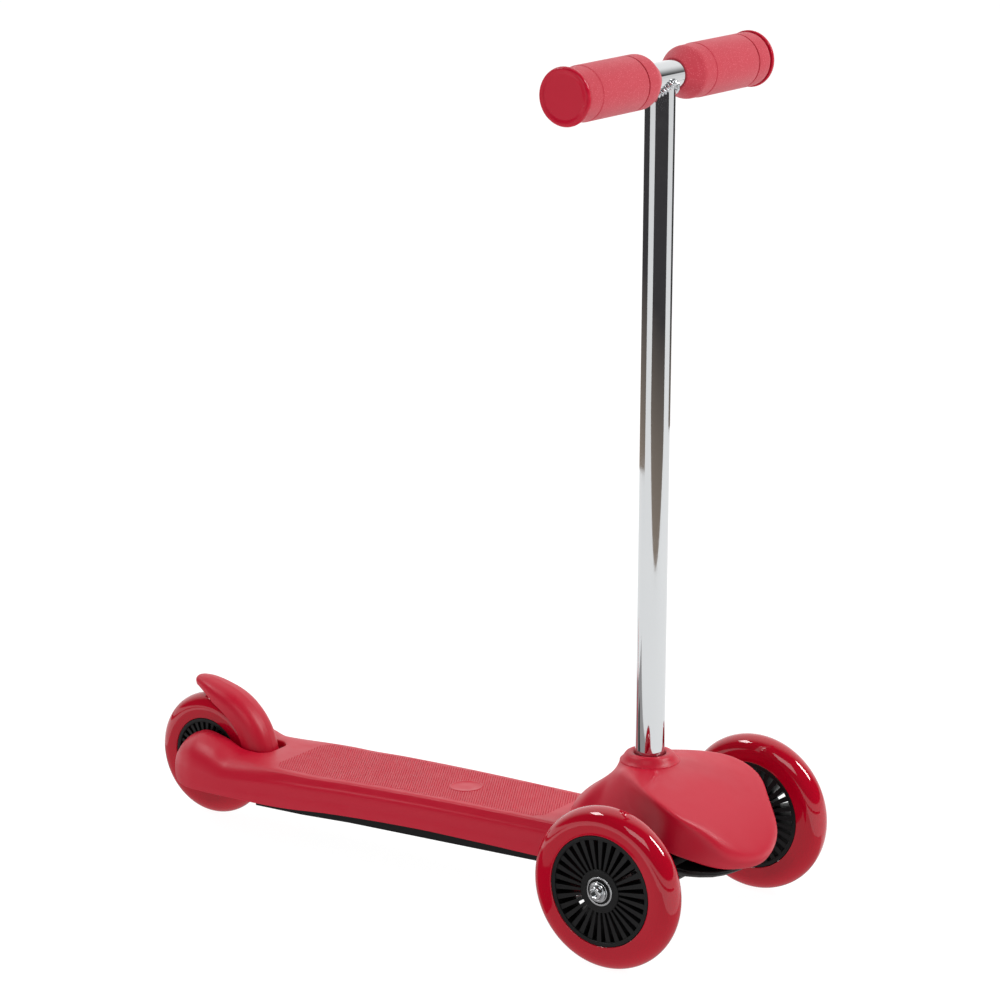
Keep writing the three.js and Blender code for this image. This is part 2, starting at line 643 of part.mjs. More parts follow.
// Deck: sections along its length, with the shoulder and side wall as shares of its width and height.
const deckLength = deckFrontX - deckRearX;
const baseHeight = (x) => deckBaseFront - deckBaseFall * (deckFrontX - x) / deckLength;

function deckRing(x, wall) {
  const along = (deckFrontX - x) / deckLength;
  const halfWidth = smooth(deckWidthShares, along) * deckHalfWidth - wall;
  const top = smooth(deckTopShares, along) * deckTop - wall;
  const low = baseHeight(x) + smooth(deckBaseShares, along) * (deckTop - baseHeight(x));
  const base = wall > 0 ? low - overrun : low;
  const crown = smooth(armCrownShares, along);
  const half = deckSectionShares.map(([flatY, flatZ], i) => {
    const [armY, armZ] = armSectionShares[i];
    const y = (flatY * (1 - crown) + armY * crown) * halfWidth;
    const z = base + (flatZ * (1 - crown) + armZ * crown) * (top - base);
    return [y, z];
  });
  const left = half.map(([y, z]) => [x, y, z]);
  const right = half.slice(1).map(([y, z]) => [x, -y, z]).reverse();
  return [...right, ...left];
}

function deckLoft(wall, fromX, toX, steps) {
  const stations = [];
  for (let i = 0; i <= steps; i += 1) {
    const share = (Math.sin(Math.PI / 2 * i / steps) + i / steps) / 2;
    stations.push(fromX + (toX - fromX) * share);
  }
  return skin(stations.map((x) => deckRing(x, wall)));
}

// The wheel slot, seen from above: round in front and open behind.
function slotPrism(grow, bottom, top) {
  const half = slotHalfWidth + grow;
  const radius = slotCornerRadius + grow;
  const centreX = slotFrontX - slotCornerRadius;
  const centreY = half - radius;
  const outline = new THREE.Shape();
  outline.moveTo(deckRearX - overrun, -half);
  outline.lineTo(centreX, -half);
  outline.absarc(centreX, -centreY, radius, -Math.PI / 2, 0);
  outline.absarc(centreX, centreY, radius, 0, Math.PI / 2);
  outline.lineTo(deckRearX - overrun, half);
  outline.closePath();
  const options = { depth: top - bottom, bevelEnabled: false, curveSegments: arcSteps };
  return new THREE.ExtrudeGeometry(outline, options).translate(0, 0, bottom);
}

const highest = 2 * deckTop;
const plateScrewX = plateScrewShares.map((share) => plateFrontX + share * (plateRearX - plateFrontX));
const plateScrews = plateScrewX.flatMap((x) => [[x, plateScrewY], [x, -plateScrewY]]);
const headSeat = (x) => baseHeight(x) - plateThickness + 2 * seat + screwHeadHeight;
const saddleReach = deckHalfWidth * saddleReachShare;
const clampRear = -wheelbase - clampBehind;
const clampFront = -wheelbase + clampAhead;
const clampTop = baseHeight(-wheelbase) + 2 * plateThickness;
const saddleBoss = (side) => {
  const root = slotHalfWidth + deckWall / 2;
  const ends = [side * (hubWidth / 2 + 3 * seat), side * root].sort((a, b) => a - b);
  return crosswise(saddleRadius, ...ends, -wheelbase, rearRadius);
};
const saddleBlock = (side) => {
  const ends = [side * (slotHalfWidth + deckWall / 2), side * saddleReach].sort((a, b) => a - b);
  return block([clampRear, ends[0], clampTop + seat], [clampFront, ends[1], rearRadius + saddleRadius]);
};
const cavity = cut(solid(deckLoft(deckWall, deckFrontX - deckWall, deckRearX + deckWall, deckCavitySteps)),
  slotPrism(deckWall, 0, highest));
const deckOutside = solid(deckLoft(0, deckFrontX, deckRearX, deckSteps));
const deckWalls = cut(deckOutside, slotPrism(0, 0, highest)).subtract(cavity);
const deckRoof = deckTop - deckWall / 2;
const roofAt = (x) => deckRoof * smooth(deckTopShares, (deckFrontX - x) / deckLength);
const deckBosses = plateScrews.map(([x, y]) =>
  upright(bossRadius, headSeat(x) + cupWall + seat, roofAt(x), x, y, screwSteps));
const tongueBosses = tongueScrewX.map((x) =>
  upright(bossRadius, tongueBottom + tongueHeight + seat, roofAt(x), x, 0, screwSteps));
const saddles = [saddleBoss(1), saddleBoss(-1), saddleBlock(1), saddleBlock(-1)];
const deckBody = deckWalls.add(joined(...deckBosses, ...tongueBosses, ...saddles).intersect(deckOutside));
const axleReach = deckHalfWidth * axleReachShare;
const clampInner = slotHalfWidth + deckWall + seat;
const clampOuter = axleReach - seat;
const clampScrewX = clampFront - 1.5 * screwHeadRadius;
place('deck_shell', surface(cut(deckBody,
  ...plateScrews.map(([x, y]) => upright(screwRadius + seat, 0, deckTop - 2 * deckWall, x, y, screwSteps)),
  ...tongueScrewX.map((x) => upright(screwRadius + seat, 0, deckTop - deckWall, x, 0, screwSteps)),
  ...[1, -1].map((side) => upright(screwRadius + seat, 0, rearRadius + saddleRadius - deckWall,
    clampScrewX, side * (clampInner + clampOuter) / 2, screwSteps)),
  crosswise(boltRadius + seat, -axleReach - seat, axleReach + seat, -wheelbase, rearRadius, smallSteps),
  block([-wheelbase - boltRadius - seat, -axleReach - seat, 0],
    [-wheelbase + boltRadius + seat, axleReach + seat, rearRadius]),
  crosswise(brakePinRadius + seat, -slotHalfWidth - 3 * deckWall, slotHalfWidth + 3 * deckWall,
    brakePivotX, brakePivotZ, smallSteps),
  block([deckFrontX - 2 * deckWall, -tongueHalfWidth - seat, tongueBottom - seat],
    [deckFrontX + overrun, tongueHalfWidth + seat, tongueBottom + tongueHeight + seat]),
)), redPlastic);

// Bottom plate, flat against the deck's lower edge.
const plateOutline = new THREE.Shape();
const plateEdge = [];
for (let i = 0; i <= plateSteps; i += 1) {
  const x = plateFrontX + (plateRearX - plateFrontX) * i / plateSteps;
  const along = (deckFrontX - x) / deckLength;
  plateEdge.push([x, smooth(deckWidthShares, along) * deckHalfWidth * plateWidthShare - plateInset]);
}
plateOutline.setFromPoints([...plateEdge.map(([x, y]) => new THREE.Vector2(x, y)),
  ...[...plateEdge].reverse().map(([x, y]) => new THREE.Vector2(x, -y))]);
const plateGeometry = new THREE.ExtrudeGeometry(plateOutline, { depth: plateThickness, bevelEnabled: false });
const platePositions = plateGeometry.attributes.position;
for (let i = 0; i < platePositions.count; i += 1) {
  const drop = baseHeight(platePositions.getX(i)) - seat - plateThickness;
  platePositions.setZ(i, platePositions.getZ(i) + drop);
}
const cups = plateScrews.map(([x, y]) =>
  upright(screwHeadRadius + seat + cupWall, baseHeight(x) - plateThickness, headSeat(x) + cupWall, x, y));
const shankHoles = plateScrews.map(([x, y]) => upright(screwRadius + seat, 0, deckTop, x, y, screwSteps));
const headHoles = plateScrews.map(([x, y]) =>
  upright(screwHeadRadius + seat, 0, headSeat(x) + seat, x, y));
place('bottom_plate', surface(cut(joined(plateGeometry, ...cups), ...shankHoles, ...headHoles)), blackPlastic);

function screw(headTop, length) {
  return surface(joined(upright(screwHeadRadius, headTop - screwHeadHeight, headTop, 0, 0, screwSteps),
    upright(screwRadius, headTop - screwHeadHeight / 2, headTop + length, 0, 0, screwSteps)));
}
plateScrews.forEach(([x, y], i) => {
  place(`plate_screw_${i + 1}`, screw(headSeat(x), 3 * bossRadius), zincSteel, [x, y, 0]);
});
tongueScrewX.forEach((x, i) => {
  place(`frame_screw_${i + 1}`, screw(tongueBottom - seat, 3 * bossRadius), zincSteel, [x, 0, 0]);
});

// Rear axle, and the clamps that hold it up in the fork's saddles.
place('rear_axle', crosswise(boltRadius, -axleReach, axleReach, -wheelbase, rearRadius, smallSteps),
  zincSteel);
for (const [side, name] of [[1, 'left'], [-1, 'right']]) {
  const [low, high] = [side * clampInner, side * clampOuter].sort((a, b) => a - b);
  const middle = (low + high) / 2;
  place(`axle_clamp_${name}`, surface(cut(joined(
    block([clampRear + seat, low, clampTop - plateThickness], [clampFront - seat, high, clampTop]),
    block([-wheelbase - boltRadius, low, clampTop - seat], [-wheelbase + boltRadius, high, rearRadius]),
  ), crosswise(boltRadius + seat, low - overrun, high + overrun, -wheelbase, rearRadius, smallSteps),
  upright(screwRadius + seat, 0, rearRadius, clampScrewX, middle, screwSteps))), blackPlastic);
  place(`axle_clamp_screw_${name}`, screw(clampTop - plateThickness - seat, 2 * bossRadius), zincSteel,
    [clampScrewX, middle, 0]);
}

// Brake lever: a fender with side skirts, concentric with the rear wheel and hinged in front of it.
function brakeRing(share) {
  const turn = THREE.MathUtils.degToRad(brakeStartDeg + share * (brakeEndDeg - brakeStartDeg));
  const half = smooth(brakeWidthShares, share) * brakeHalfWidth;
  const outer = brakeOuterRadius + smooth(brakeLiftShares, share) * brakeTipLift;
  const skirt = outer - smooth(brakeSkirtShares, share) * brakeSkirtDepth;
  const height = outer - skirt;
  const channel = (halfWidth, rise) => {
    const right = brakeSectionShares.map(([across, up]) => [-across * halfWidth, skirt + up * rise]);
    const left = right.slice(0, -1).reverse().map(([y, r]) => [-y, r]);
    return [...right, ...left];
  };
  const inside = channel(half - Math.min(brakeWall, half / 2), height - Math.min(brakeCrown, height / 2));
  return [...channel(half, height), ...inside.reverse()].map(([y, r]) =>
    [-wheelbase + r * Math.cos(turn), y, rearRadius + r * Math.sin(turn)]);
}
const brakeRings = Array.from({ length: brakeSteps + 1 }, (_, i) => brakeRing(i / brakeSteps));
const brakeStart = THREE.MathUtils.degToRad(brakeStartDeg);
const hingeWebTop = rearRadius + brakeOuterRadius * Math.sin(brakeStart) + brakeWall / 2;
const hingeWeb = block([brakePivotX - brakePinRadius, -brakeHalfWidth + brakeWall / 2, brakePivotZ],
  [brakePivotX + brakeBarrelRadius * hingeWebShare, brakeHalfWidth - brakeWall / 2, hingeWebTop]);
const barrelHalfWidth = brakeHalfWidth + seat;
const springHalfWidth = springPitch * springTurns / 2 + springWire;
place('brake_lever', surface(cut(joined(skin(brakeRings, 'strips'),
  crosswise(brakeBarrelRadius, -barrelHalfWidth, barrelHalfWidth, brakePivotX, brakePivotZ), hingeWeb),
crosswise(brakePinRadius + seat, -slotHalfWidth, slotHalfWidth, brakePivotX, brakePivotZ, smallSteps),
crosswise(brakeBarrelRadius + seat, -springHalfWidth - seat, springHalfWidth + seat,
  brakePivotX, brakePivotZ),
)), redPlastic);

// Hard pad clipped inside the lever, over the tread.
const padRoof = brakeOuterRadius - brakeCrown - seat;
const padRings = Array.from({ length: padSteps + 1 }, (_, i) => {
  const turn = THREE.MathUtils.degToRad(padFromDeg + (padToDeg - padFromDeg) * i / padSteps);
  return [[-padHalfWidth, padRoof - 1.5 * padEdge], [0, padRoof], [padHalfWidth, padRoof - 1.5 * padEdge],
    [padHalfWidth - padEdge, padInnerRadius], [padEdge - padHalfWidth, padInnerRadius]]
    .map(([y, r]) => [-wheelbase + r * Math.cos(turn), y, rearRadius + r * Math.sin(turn)]);
});
place('brake_pad', skin(padRings), blackPlastic);

place('brake_pin', crosswise(brakePinRadius, -slotHalfWidth - 2 * deckWall, slotHalfWidth + 2 * deckWall,
  brakePivotX, brakePivotZ, smallSteps), zincSteel);

// Torsion spring round the pin: one unbroken wire.
class SpringPath extends THREE.Curve {
  getPoint(t) {
    const turn = 2 * Math.PI * springTurns * t;
    return new THREE.Vector3(springCoilRadius * Math.sin(turn), springPitch * springTurns * (t - 0.5),
      springCoilRadius * Math.cos(turn));
  }
}
const wireSection = new THREE.Shape().absarc(0, 0, springWire, 0, 2 * Math.PI);
const springOptions = {
  steps: springSteps * springTurns,
  curveSegments: wireSteps,
  extrudePath: new SpringPath(),
};
place('brake_spring', new THREE.ExtrudeGeometry(wireSection, springOptions), zincSteel,
  [brakePivotX, 0, brakePivotZ]);

export default scooter;
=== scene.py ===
import math
import bmesh
import bpy
import numpy as np
from mathutils import Matrix, Vector


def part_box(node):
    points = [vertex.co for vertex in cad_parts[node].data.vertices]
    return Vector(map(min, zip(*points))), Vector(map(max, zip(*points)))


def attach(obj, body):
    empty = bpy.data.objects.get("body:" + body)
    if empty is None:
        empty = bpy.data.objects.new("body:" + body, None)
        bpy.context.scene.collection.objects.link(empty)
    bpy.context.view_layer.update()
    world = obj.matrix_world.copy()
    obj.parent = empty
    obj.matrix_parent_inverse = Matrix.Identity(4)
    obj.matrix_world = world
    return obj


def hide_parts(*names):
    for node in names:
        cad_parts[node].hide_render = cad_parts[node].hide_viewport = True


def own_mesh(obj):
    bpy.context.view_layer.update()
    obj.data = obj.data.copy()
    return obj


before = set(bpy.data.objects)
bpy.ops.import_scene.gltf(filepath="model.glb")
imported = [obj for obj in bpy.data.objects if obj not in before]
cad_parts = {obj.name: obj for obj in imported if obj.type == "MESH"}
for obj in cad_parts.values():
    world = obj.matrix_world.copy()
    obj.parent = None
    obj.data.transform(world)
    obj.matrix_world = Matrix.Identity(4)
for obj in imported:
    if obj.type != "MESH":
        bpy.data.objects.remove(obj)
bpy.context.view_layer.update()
scene = bpy.context.scene
print("frame loaded:", len(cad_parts), "nodes")

# Every piece is drawn in millimetres from the middle of the front axle line on the ground
mm = 0.001
middleX = 215.75
wheelbase = 448.5
seat = 0.3


def metres(points):
    return (np.asarray(points, float).reshape(-1, 3) + (middleX, 0, 0)) * mm


def spotOf(point):
    return Vector(metres(point)[0])


# Curve through a table of places and values, level at both ends and never past a value
def along(table, places):
    place, value = np.array(table, float).T
    slope = np.diff(value) / np.diff(place)
    tangent = np.zeros(len(place))
    same = slope[:-1] * slope[1:] > 0
    total = np.where(same, slope[:-1] + slope[1:], 1)
    tangent[1:-1] = np.where(same, 2 * slope[:-1] * slope[1:] / total, 0)
    at = np.clip(np.atleast_1d(np.asarray(places, float)), place[0], place[-1])
    i = np.clip(np.searchsorted(place, at, side="right") - 1, 0, len(place) - 2)
    run = place[i + 1] - place[i]
    t = (at - place[i]) / run
    rise = t * t * (3 - 2 * t)
    bend = run * t * (1 - t) * (tangent[i] * (1 - t) - tangent[i + 1] * t)
    found = value[i] * (1 - rise) + value[i + 1] * rise + bend
    return found if np.ndim(places) else float(found[0])


# Both curves of a list of pairs, read at places counted in pairs
def pairCurves(pairs, places):
    return [along(list(enumerate(values)), places) for values in zip(*pairs)]


def wholeTurn(steps):
    return 2 * math.pi * np.arange(steps) / steps


# Colours are sRGB hex values
def linear(hexColour):
    shares = [int(hexColour[i:i + 2], 16) / 255 for i in (1, 3, 5)]
    return [s / 12.92 if s <= 0.04045 else ((s + 0.055) / 1.055) ** 2.4 for s in shares] + [1.0]


# A setting is a property, an input's value, or the node or socket that feeds the input
def addNode(tree, kind, settings=None):
    node = tree.nodes.new(kind)
    for key, value in (settings or {}).items():
        if isinstance(value, bpy.types.Node):
            value = value.outputs[0]
        if isinstance(value, bpy.types.NodeSocket):
            tree.links.new(value, node.inputs[key])
        elif isinstance(key, int) or key in node.inputs:
            node.inputs[key].default_value = value
        else:
            setattr(node, key, value)
    return node


def calc(tree, operation, *terms):
    return addNode(tree, "ShaderNodeMath", {"operation": operation, **dict(enumerate(terms))})


def combine(tree, **parts):
    return addNode(tree, "ShaderNodeCombineXYZ", parts)


def mixed(tree, share, first, second):
    return addNode(tree, "ShaderNodeMix", {"data_type": "RGBA", 0: share, 6: first, 7: second}).outputs[2]


# A value's range carried over to another range
def ranged(tree, value, ends, newEnds=(0.0, 1.0), style="LINEAR"):
    return addNode(tree, "ShaderNodeMapRange", {
        "interpolation_type": style, "Value": value, "From Min": ends[0], "From Max": ends[1],
        "To Min": newEnds[0], "To Max": newEnds[1]})


def emptyMaterial(name):
    material = bpy.data.materials.new(name)
    material.use_nodes = True
    material.node_tree.nodes.clear()
    return material, material.node_tree


# Moulded, cast, rubber and plated finishes: a base colour that drifts, a roughness that drifts and a fine
# grain, given as its size in millimetres, its strength and its depth in millimetres
def surfaceFinish(name, look):
    material, tree = emptyMaterial(name)
    grainMm, strength, depthMm = look["grain"]
    spot = addNode(tree, "ShaderNodeTexCoord").outputs["Object"]

    def clouds(sizeMm, detail):
        return addNode(tree, "ShaderNodeTexNoise", {"Scale": 1000 / sizeMm, "Detail": detail, "Vector": spot})

    def cells(sizeMm):
        return addNode(tree, "ShaderNodeTexVoronoi", {"Scale": 1000 / sizeMm, "Vector": spot})

    colour = mixed(tree, clouds(look["driftMm"], 3.0), linear(look["colour"]), linear(look["deep"]))
    if "speck" in look:
        pick = ranged(tree, cells(look["speckMm"]), (0.12, 0.3), (1.0, 0.0))
        colour = mixed(tree, pick, colour, linear(look["speck"]))
    rough = ranged(tree, clouds(look["wearMm"], 5.0), (0.3, 0.7), look["rough"])
    grain = cells(grainMm) if "speck" in look else clouds(grainMm, 2.0)
    bump = addNode(tree, "ShaderNodeBump", {"Strength": strength, "Distance": depthMm * mm, "Height": grain})
    shader = addNode(tree, "ShaderNodeBsdfPrincipled", {
        **look["shader"], "Base Color": colour, "Roughness": rough, "Normal": bump})
    addNode(tree, "ShaderNodeOutputMaterial", {"Surface": shader})
    return material


# Polypropylene moulding with a satin, spark-eroded grain: soft wide highlights, rosy where it is lit
mouldedPolypropylene = surfaceFinish("moulded_polypropylene_red", {
    "colour": "#c0042b", "deep": "#b90226", "driftMm": 90, "wearMm": 14, "rough": (0.36, 0.46),
    "grain": (0.5, 0.25, 0.05), "shader": {"IOR": 1.49, "Specular IOR Level": 0.4}})
# The same plastic where the tread moulds are: rougher and a little paler
treadPolypropylene = surfaceFinish("moulded_polypropylene_tread", {
    "colour": "#bd0f2d", "deep": "#b60a28", "driftMm": 60, "wearMm": 9, "rough": (0.5, 0.62),
    "grain": (0.9, 0.35, 0.08), "shader": {"IOR": 1.49}})
# Cast polyurethane: glossy, wet looking, with sharp reflections
castPolyurethane = surfaceFinish("cast_polyurethane_red", {
    "colour": "#b20122", "deep": "#aa011d", "driftMm": 40, "wearMm": 20, "rough": (0.025, 0.05),
    "grain": (6, 0.05, 0.1), "shader": {"IOR": 1.5, "Specular IOR Level": 0.6}})
# Closed-cell foam rubber: no shine at all, tiny open cells and pale specks
foamRubber = surfaceFinish("foam_rubber_red", {
    "colour": "#bb3443", "deep": "#b32b3a", "driftMm": 25, "wearMm": 4, "rough": (0.82, 0.95),
    "grain": (0.9, 0.6, 0.12), "speck": "#cf5a68", "speckMm": 1.3,
    "shader": {"IOR": 1.45, "Sheen Weight": 0.2, "Sheen Roughness": 0.5}})
# Injection moulded ABS caps: smooth, half gloss
mouldedAbs = surfaceFinish("moulded_abs_red", {
    "colour": "#b80f2d", "deep": "#b00a28", "driftMm": 30, "wearMm": 8, "rough": (0.2, 0.28),
    "grain": (1.2, 0.06, 0.05), "shader": {"IOR": 1.53, "Specular IOR Level": 0.22}})
# Glass-filled nylon: near black, dull, faintly cloudy
filledNylon = surfaceFinish("glass_filled_nylon_black", {
    "colour": "#101012", "deep": "#0c0c0d", "driftMm": 12, "wearMm": 3, "rough": (0.38, 0.5),
    "grain": (0.6, 0.2, 0.04), "shader": {"IOR": 1.52, "Specular IOR Level": 0.3}})
# Vulcanised rubber: black and matt
vulcanisedRubber = surfaceFinish("vulcanised_rubber_black", {
    "colour": "#161617", "deep": "#101011", "driftMm": 10, "wearMm": 3, "rough": (0.6, 0.75),
    "grain": (0.7, 0.25, 0.05), "shader": {"IOR": 1.5}})
# Bright chromium plate over polished steel: a mirror with the faintest polishing haze
chromiumPlate = surfaceFinish("chromium_plate_polished", {
    "colour": "#cccecf", "deep": "#c8cacc", "driftMm": 60, "wearMm": 6, "rough": (0.035, 0.07),
    "grain": (9, 0.02, 0.05), "shader": {"Metallic": 1.0}})
# Plated weld: the same chromium over a rippled, slightly spattered bead
platedWeld = surfaceFinish("chromium_plate_weld", {
    "colour": "#d8dbde", "deep": "#b9bdc1", "driftMm": 3, "wearMm": 1.5, "rough": (0.12, 0.3),
    "grain": (1.1, 0.7, 0.2), "shader": {"Metallic": 1.0}})
# Zinc-plated steel: bright, a little milky, with fine turning marks
zincPlate = surfaceFinish("zinc_plated_steel", {
    "colour": "#dcdee0", "deep": "#cfd2d4", "driftMm": 5, "wearMm": 1.2, "rough": (0.07, 0.13),
    "grain": (0.5, 0.08, 0.03), "shader": {"Metallic": 1.0}})
print("materials made:", len(bpy.data.materials))


def newObject(name, data):
    made = bpy.data.objects.new(name, data)
    scene.collection.objects.link(made)
    return made


def newMesh(name, points, faces=(), edges=()):
    mesh = bpy.data.meshes.new(name)
    mesh.from_pydata(metres(points).tolist(), list(edges), list(faces))
    return mesh


def smoothed(mesh, material, sharpDeg):
    mesh.materials.clear()
    mesh.materials.append(material)
    mesh.shade_smooth()
    mesh.set_sharp_from_angle(angle=math.radians(sharpDeg))
    return mesh


# A mesh object whose faces point outwards
def newPiece(name, points, faces, material, sharpDeg=40):
    mesh = newMesh(name, points, faces)
    form = bmesh.new()
    form.from_mesh(mesh)
    bmesh.ops.remove_doubles(form, verts=form.verts, dist=0.004 * mm)
    bmesh.ops.recalc_face_normals(form, faces=form.faces)
    if form.calc_volume(signed=True) < 0:
        bmesh.ops.reverse_faces(form, faces=form.faces)
    form.to_mesh(mesh)
    form.free()
    return newObject(name, smoothed(mesh, material, sharpDeg))


def settle(piece, body, nodes=()):
    if nodes:
        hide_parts(*nodes)
    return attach(piece, body)


def softEdges(piece, widthMm, segments, sharpDeg):
    bevel = piece.modifiers.new("soft_edge", "BEVEL")
    bevel.width, bevel.segments, bevel.limit_method = widthMm * mm, segments, "ANGLE"
    bevel.angle_limit = math.radians(sharpDeg)


# Faces of a grid of points, row by row
def gridFaces(rows, columns, closeRows=False, closeColumns=False, first=0):
    faces = []
    for i in range(rows if closeRows else rows - 1):
        for j in range(columns if closeColumns else columns - 1):
            a, b = first + i * columns, first + ((i + 1) % rows) * columns
            k = (j + 1) % columns
            faces.append([a + j, b + j, b + k, a + k])
    return faces


# A section whose corners, given as radius, height and fillet, are rounded
def rounded(corners, steps=4):
    section = []
    count = len(corners)
    for i, (r, h, fillet) in enumerate(corners):
        here = np.array([r, h], float)
        if fillet <= 0:
            section.append((r, h))
            continue
        before = np.array(corners[i - 1][:2]) - here
        after = np.array(corners[(i + 1) % count][:2]) - here
        start = here + before / np.linalg.norm(before) * fillet
        end = here + after / np.linalg.norm(after) * fillet
        for t in np.linspace(0, 1, steps + 1):
            section.append(tuple(start * (1 - t) ** 2 + 2 * here * t * (1 - t) + end * t * t))
    return section


# The section of a ring between two radii and two heights
def band(inner, outer, low, high, fillets):
    corners = ((inner, low), (outer, low), (outer, high), (inner, high))
    return rounded([(*corner, fillet) for corner, fillet in zip(corners, fillets)])


# A section of radius and height turned about an axis through the centre. A radius may be a list, one for
# each step round, and a radius of 0 is a pole.
def turnedRings(section, axis, centre, steps, first=0):
    turns = wholeTurn(steps)
    points, faces, rings = [], [], []
    for radius, height in section:
        count = 1 if np.ndim(radius) == 0 and radius < 1e-6 else steps
        turn = turns[:count]
        across, rise = np.cos(turn) * radius, np.sin(turn) * radius
        level = np.full(count, height)
        ring = np.stack([across, level, rise] if axis == "Y" else [across, rise, level], axis=1)
        rings.append((first + len(points), count))
        points.extend((ring + centre).tolist())
    for (a, countA), (b, countB) in zip(rings, rings[1:] + rings[:1]):
        for j in range(steps):
            k = (j + 1) % steps
            if countA == 1 and countB == 1:
                break
            if countA == 1:
                faces.append([a, b + j, b + k])
            elif countB == 1:
                faces.append([a + j, b, a + k])
            else:
                faces.append([a + j, b + j, b + k, a + k])
    return points, faces


def turnedPiece(name, sections, material, axis="Y", centre=(0, 0, 0), steps=96, sharpDeg=40):
    points, faces = [], []
    for section in sections:
        more, moreFaces = turnedRings(section, axis, centre, steps, len(points))
        points.extend(more)
        faces.extend(moreFaces)
    return newPiece(name, points, faces, material, sharpDeg)


# Runs a geometry tree on a holder of loose points and keeps the result as a plain mesh
def grown(name, tree, settings, material, points=((0, 0, 0),), edges=()):
    piece = newObject(name, newMesh(name, points, edges=edges))
    growth = piece.modifiers.new("growth", "NODES")
    growth.node_group = tree
    given = {**settings, "Material": material}
    for item in tree.interface.items_tree:
        if item.name in given:
            growth[item.identifier] = given[item.name]
    bpy.context.view_layer.update()
    plain = bpy.data.meshes.new_from_object(piece.evaluated_get(bpy.context.evaluated_depsgraph_get()))
    piece.modifiers.remove(growth)
    piece.data = plain
    plain.name = name
    plain.polygons.foreach_set("material_index", np.zeros(len(plain.polygons), np.int32))
    plain.materials.clear()
    plain.materials.append(material)
    return piece


# A geometry tree with its named sizes, whose kinds follow from their values
def newTree(name, sizes):
    kinds = {int: "Int", float: "Float", bpy.types.Object: "Object"}
    tree = bpy.data.node_groups.new(name, "GeometryNodeTree")
    sockets = {"Geometry": "Geometry", **{size: kinds.get(type(value), "Vector") for size, value in sizes.items()},
               "Material": "Material"}
    for size, kind in sockets.items():
        socket = tree.interface.new_socket(size, in_out="INPUT", socket_type="NodeSocket" + kind)
        if size in sizes:
            socket.default_value = sizes[size]
    tree.interface.new_socket("Geometry", in_out="OUTPUT", socket_type="NodeSocketGeometry")
    return tree, tree.nodes.new("NodeGroupInput").outputs


def endTree(tree, geometry, sizes):
    real = addNode(tree, "GeometryNodeRealizeInstances", {"Geometry": geometry})
    painted = addNode(tree, "GeometryNodeSetMaterial", {"Geometry": real, "Material": sizes["Material"]})
    addNode(tree, "NodeGroupOutput", {"Geometry": painted})


# The camera of the photograph, in the same millimetres
cameraLook = {"azimuth": 34.78, "elevation": 14.42, "roll": 0.31, "lens": 135.53,
              "place": (1400.03, -2258.84, 1010.36)}
cameraData = bpy.data.cameras.new("photo_camera")
cameraData.sensor_width = 36
cameraData.lens = cameraLook["lens"]
cameraData.clip_start, cameraData.clip_end = 0.05, 60
camera = newObject("photo_camera", cameraData)
azimuth, elevation, roll = (math.radians(cameraLook[key]) for key in ("azimuth", "elevation", "roll"))
backward = Vector((math.sin(azimuth) * math.cos(elevation), -math.cos(azimuth) * math.cos(elevation),
                   math.sin(elevation)))
rightward = Vector((math.cos(azimuth), math.sin(azimuth), 0))
upward = backward.cross(rightward)
turnedRight = rightward * math.cos(roll) + upward * math.sin(roll)
turnedUp = upward * math.cos(roll) - rightward * math.sin(roll)
pose = Matrix((turnedRight, turnedUp, backward)).transposed().to_4x4()
pose.translation = spotOf(cameraLook["place"])
camera.matrix_world = pose
scene.camera = camera
print("camera placed")

# Wheels: a cast tyre on a slotted hub, and two sealed ball bearings
wheelLook = {"tyreHalf": 12, "seatDepth": 19, "seatHalf": 11.7, "lip": 0.7, "arcSteps": 44, "steps": 168,
             "rimHalf": 11.5, "rimThick": 3.2, "ribs": 30, "ribInner": 14.6, "ribFill": 0.5, "ribHalf": 10.6,
             "bossRadius": 16.4, "bearing": 11.0, "bearingWide": 7, "race": 9.5, "innerRace": 6.3, "bore": 4.3,
             "sealIn": 0.7, "sealThick": 1.5}
wheels = {"front_wheel_left": (61, (0, 103.75, 61)), "front_wheel_right": (61, (0, -103.75, 61)),
          "rear_wheel": (50, (-wheelbase, 0, 50))}

look = wheelLook
ribSizes = {"Count": look["ribs"], "Inner": look["ribInner"] * mm, "Outer": 0.038,
            "Spread": 2 * math.pi / look["ribs"] * look["ribFill"], "Half depth": look["ribHalf"] * mm,
            "Centre": (0, 0, 0)}
ribTree, sizes = newTree("hub_ribs", ribSizes)
block = addNode(ribTree, "GeometryNodeMeshCube", {"Size": (1, 1, 1), "Vertices X": 6})
split = addNode(ribTree, "ShaderNodeSeparateXYZ", {0: addNode(ribTree, "GeometryNodeInputPosition")})
share = calc(ribTree, "ADD", split.outputs["X"], 0.5)
reach = ranged(ribTree, share, (0.0, 1.0), (sizes["Inner"], sizes["Outer"]))
widen = calc(ribTree, "MULTIPLY", reach, sizes["Spread"])
side = calc(ribTree, "MULTIPLY", split.outputs["Y"], widen)
deep = calc(ribTree, "MULTIPLY", calc(ribTree, "MULTIPLY", split.outputs["Z"], sizes["Half depth"]), 2.0)
shaped = addNode(ribTree, "GeometryNodeSetPosition", {
    "Geometry": block, "Position": combine(ribTree, X=reach, Y=side, Z=deep)})
spots = addNode(ribTree, "GeometryNodePoints", {"Count": sizes["Count"]})
later = calc(ribTree, "ADD", addNode(ribTree, "GeometryNodeInputIndex"), 0.5)
angle = calc(ribTree, "MULTIPLY", calc(ribTree, "DIVIDE", later, sizes["Count"]), 2 * math.pi)
fan = addNode(ribTree, "GeometryNodeInstanceOnPoints", {
    "Points": spots, "Instance": shaped, "Rotation": combine(ribTree, Z=angle)})
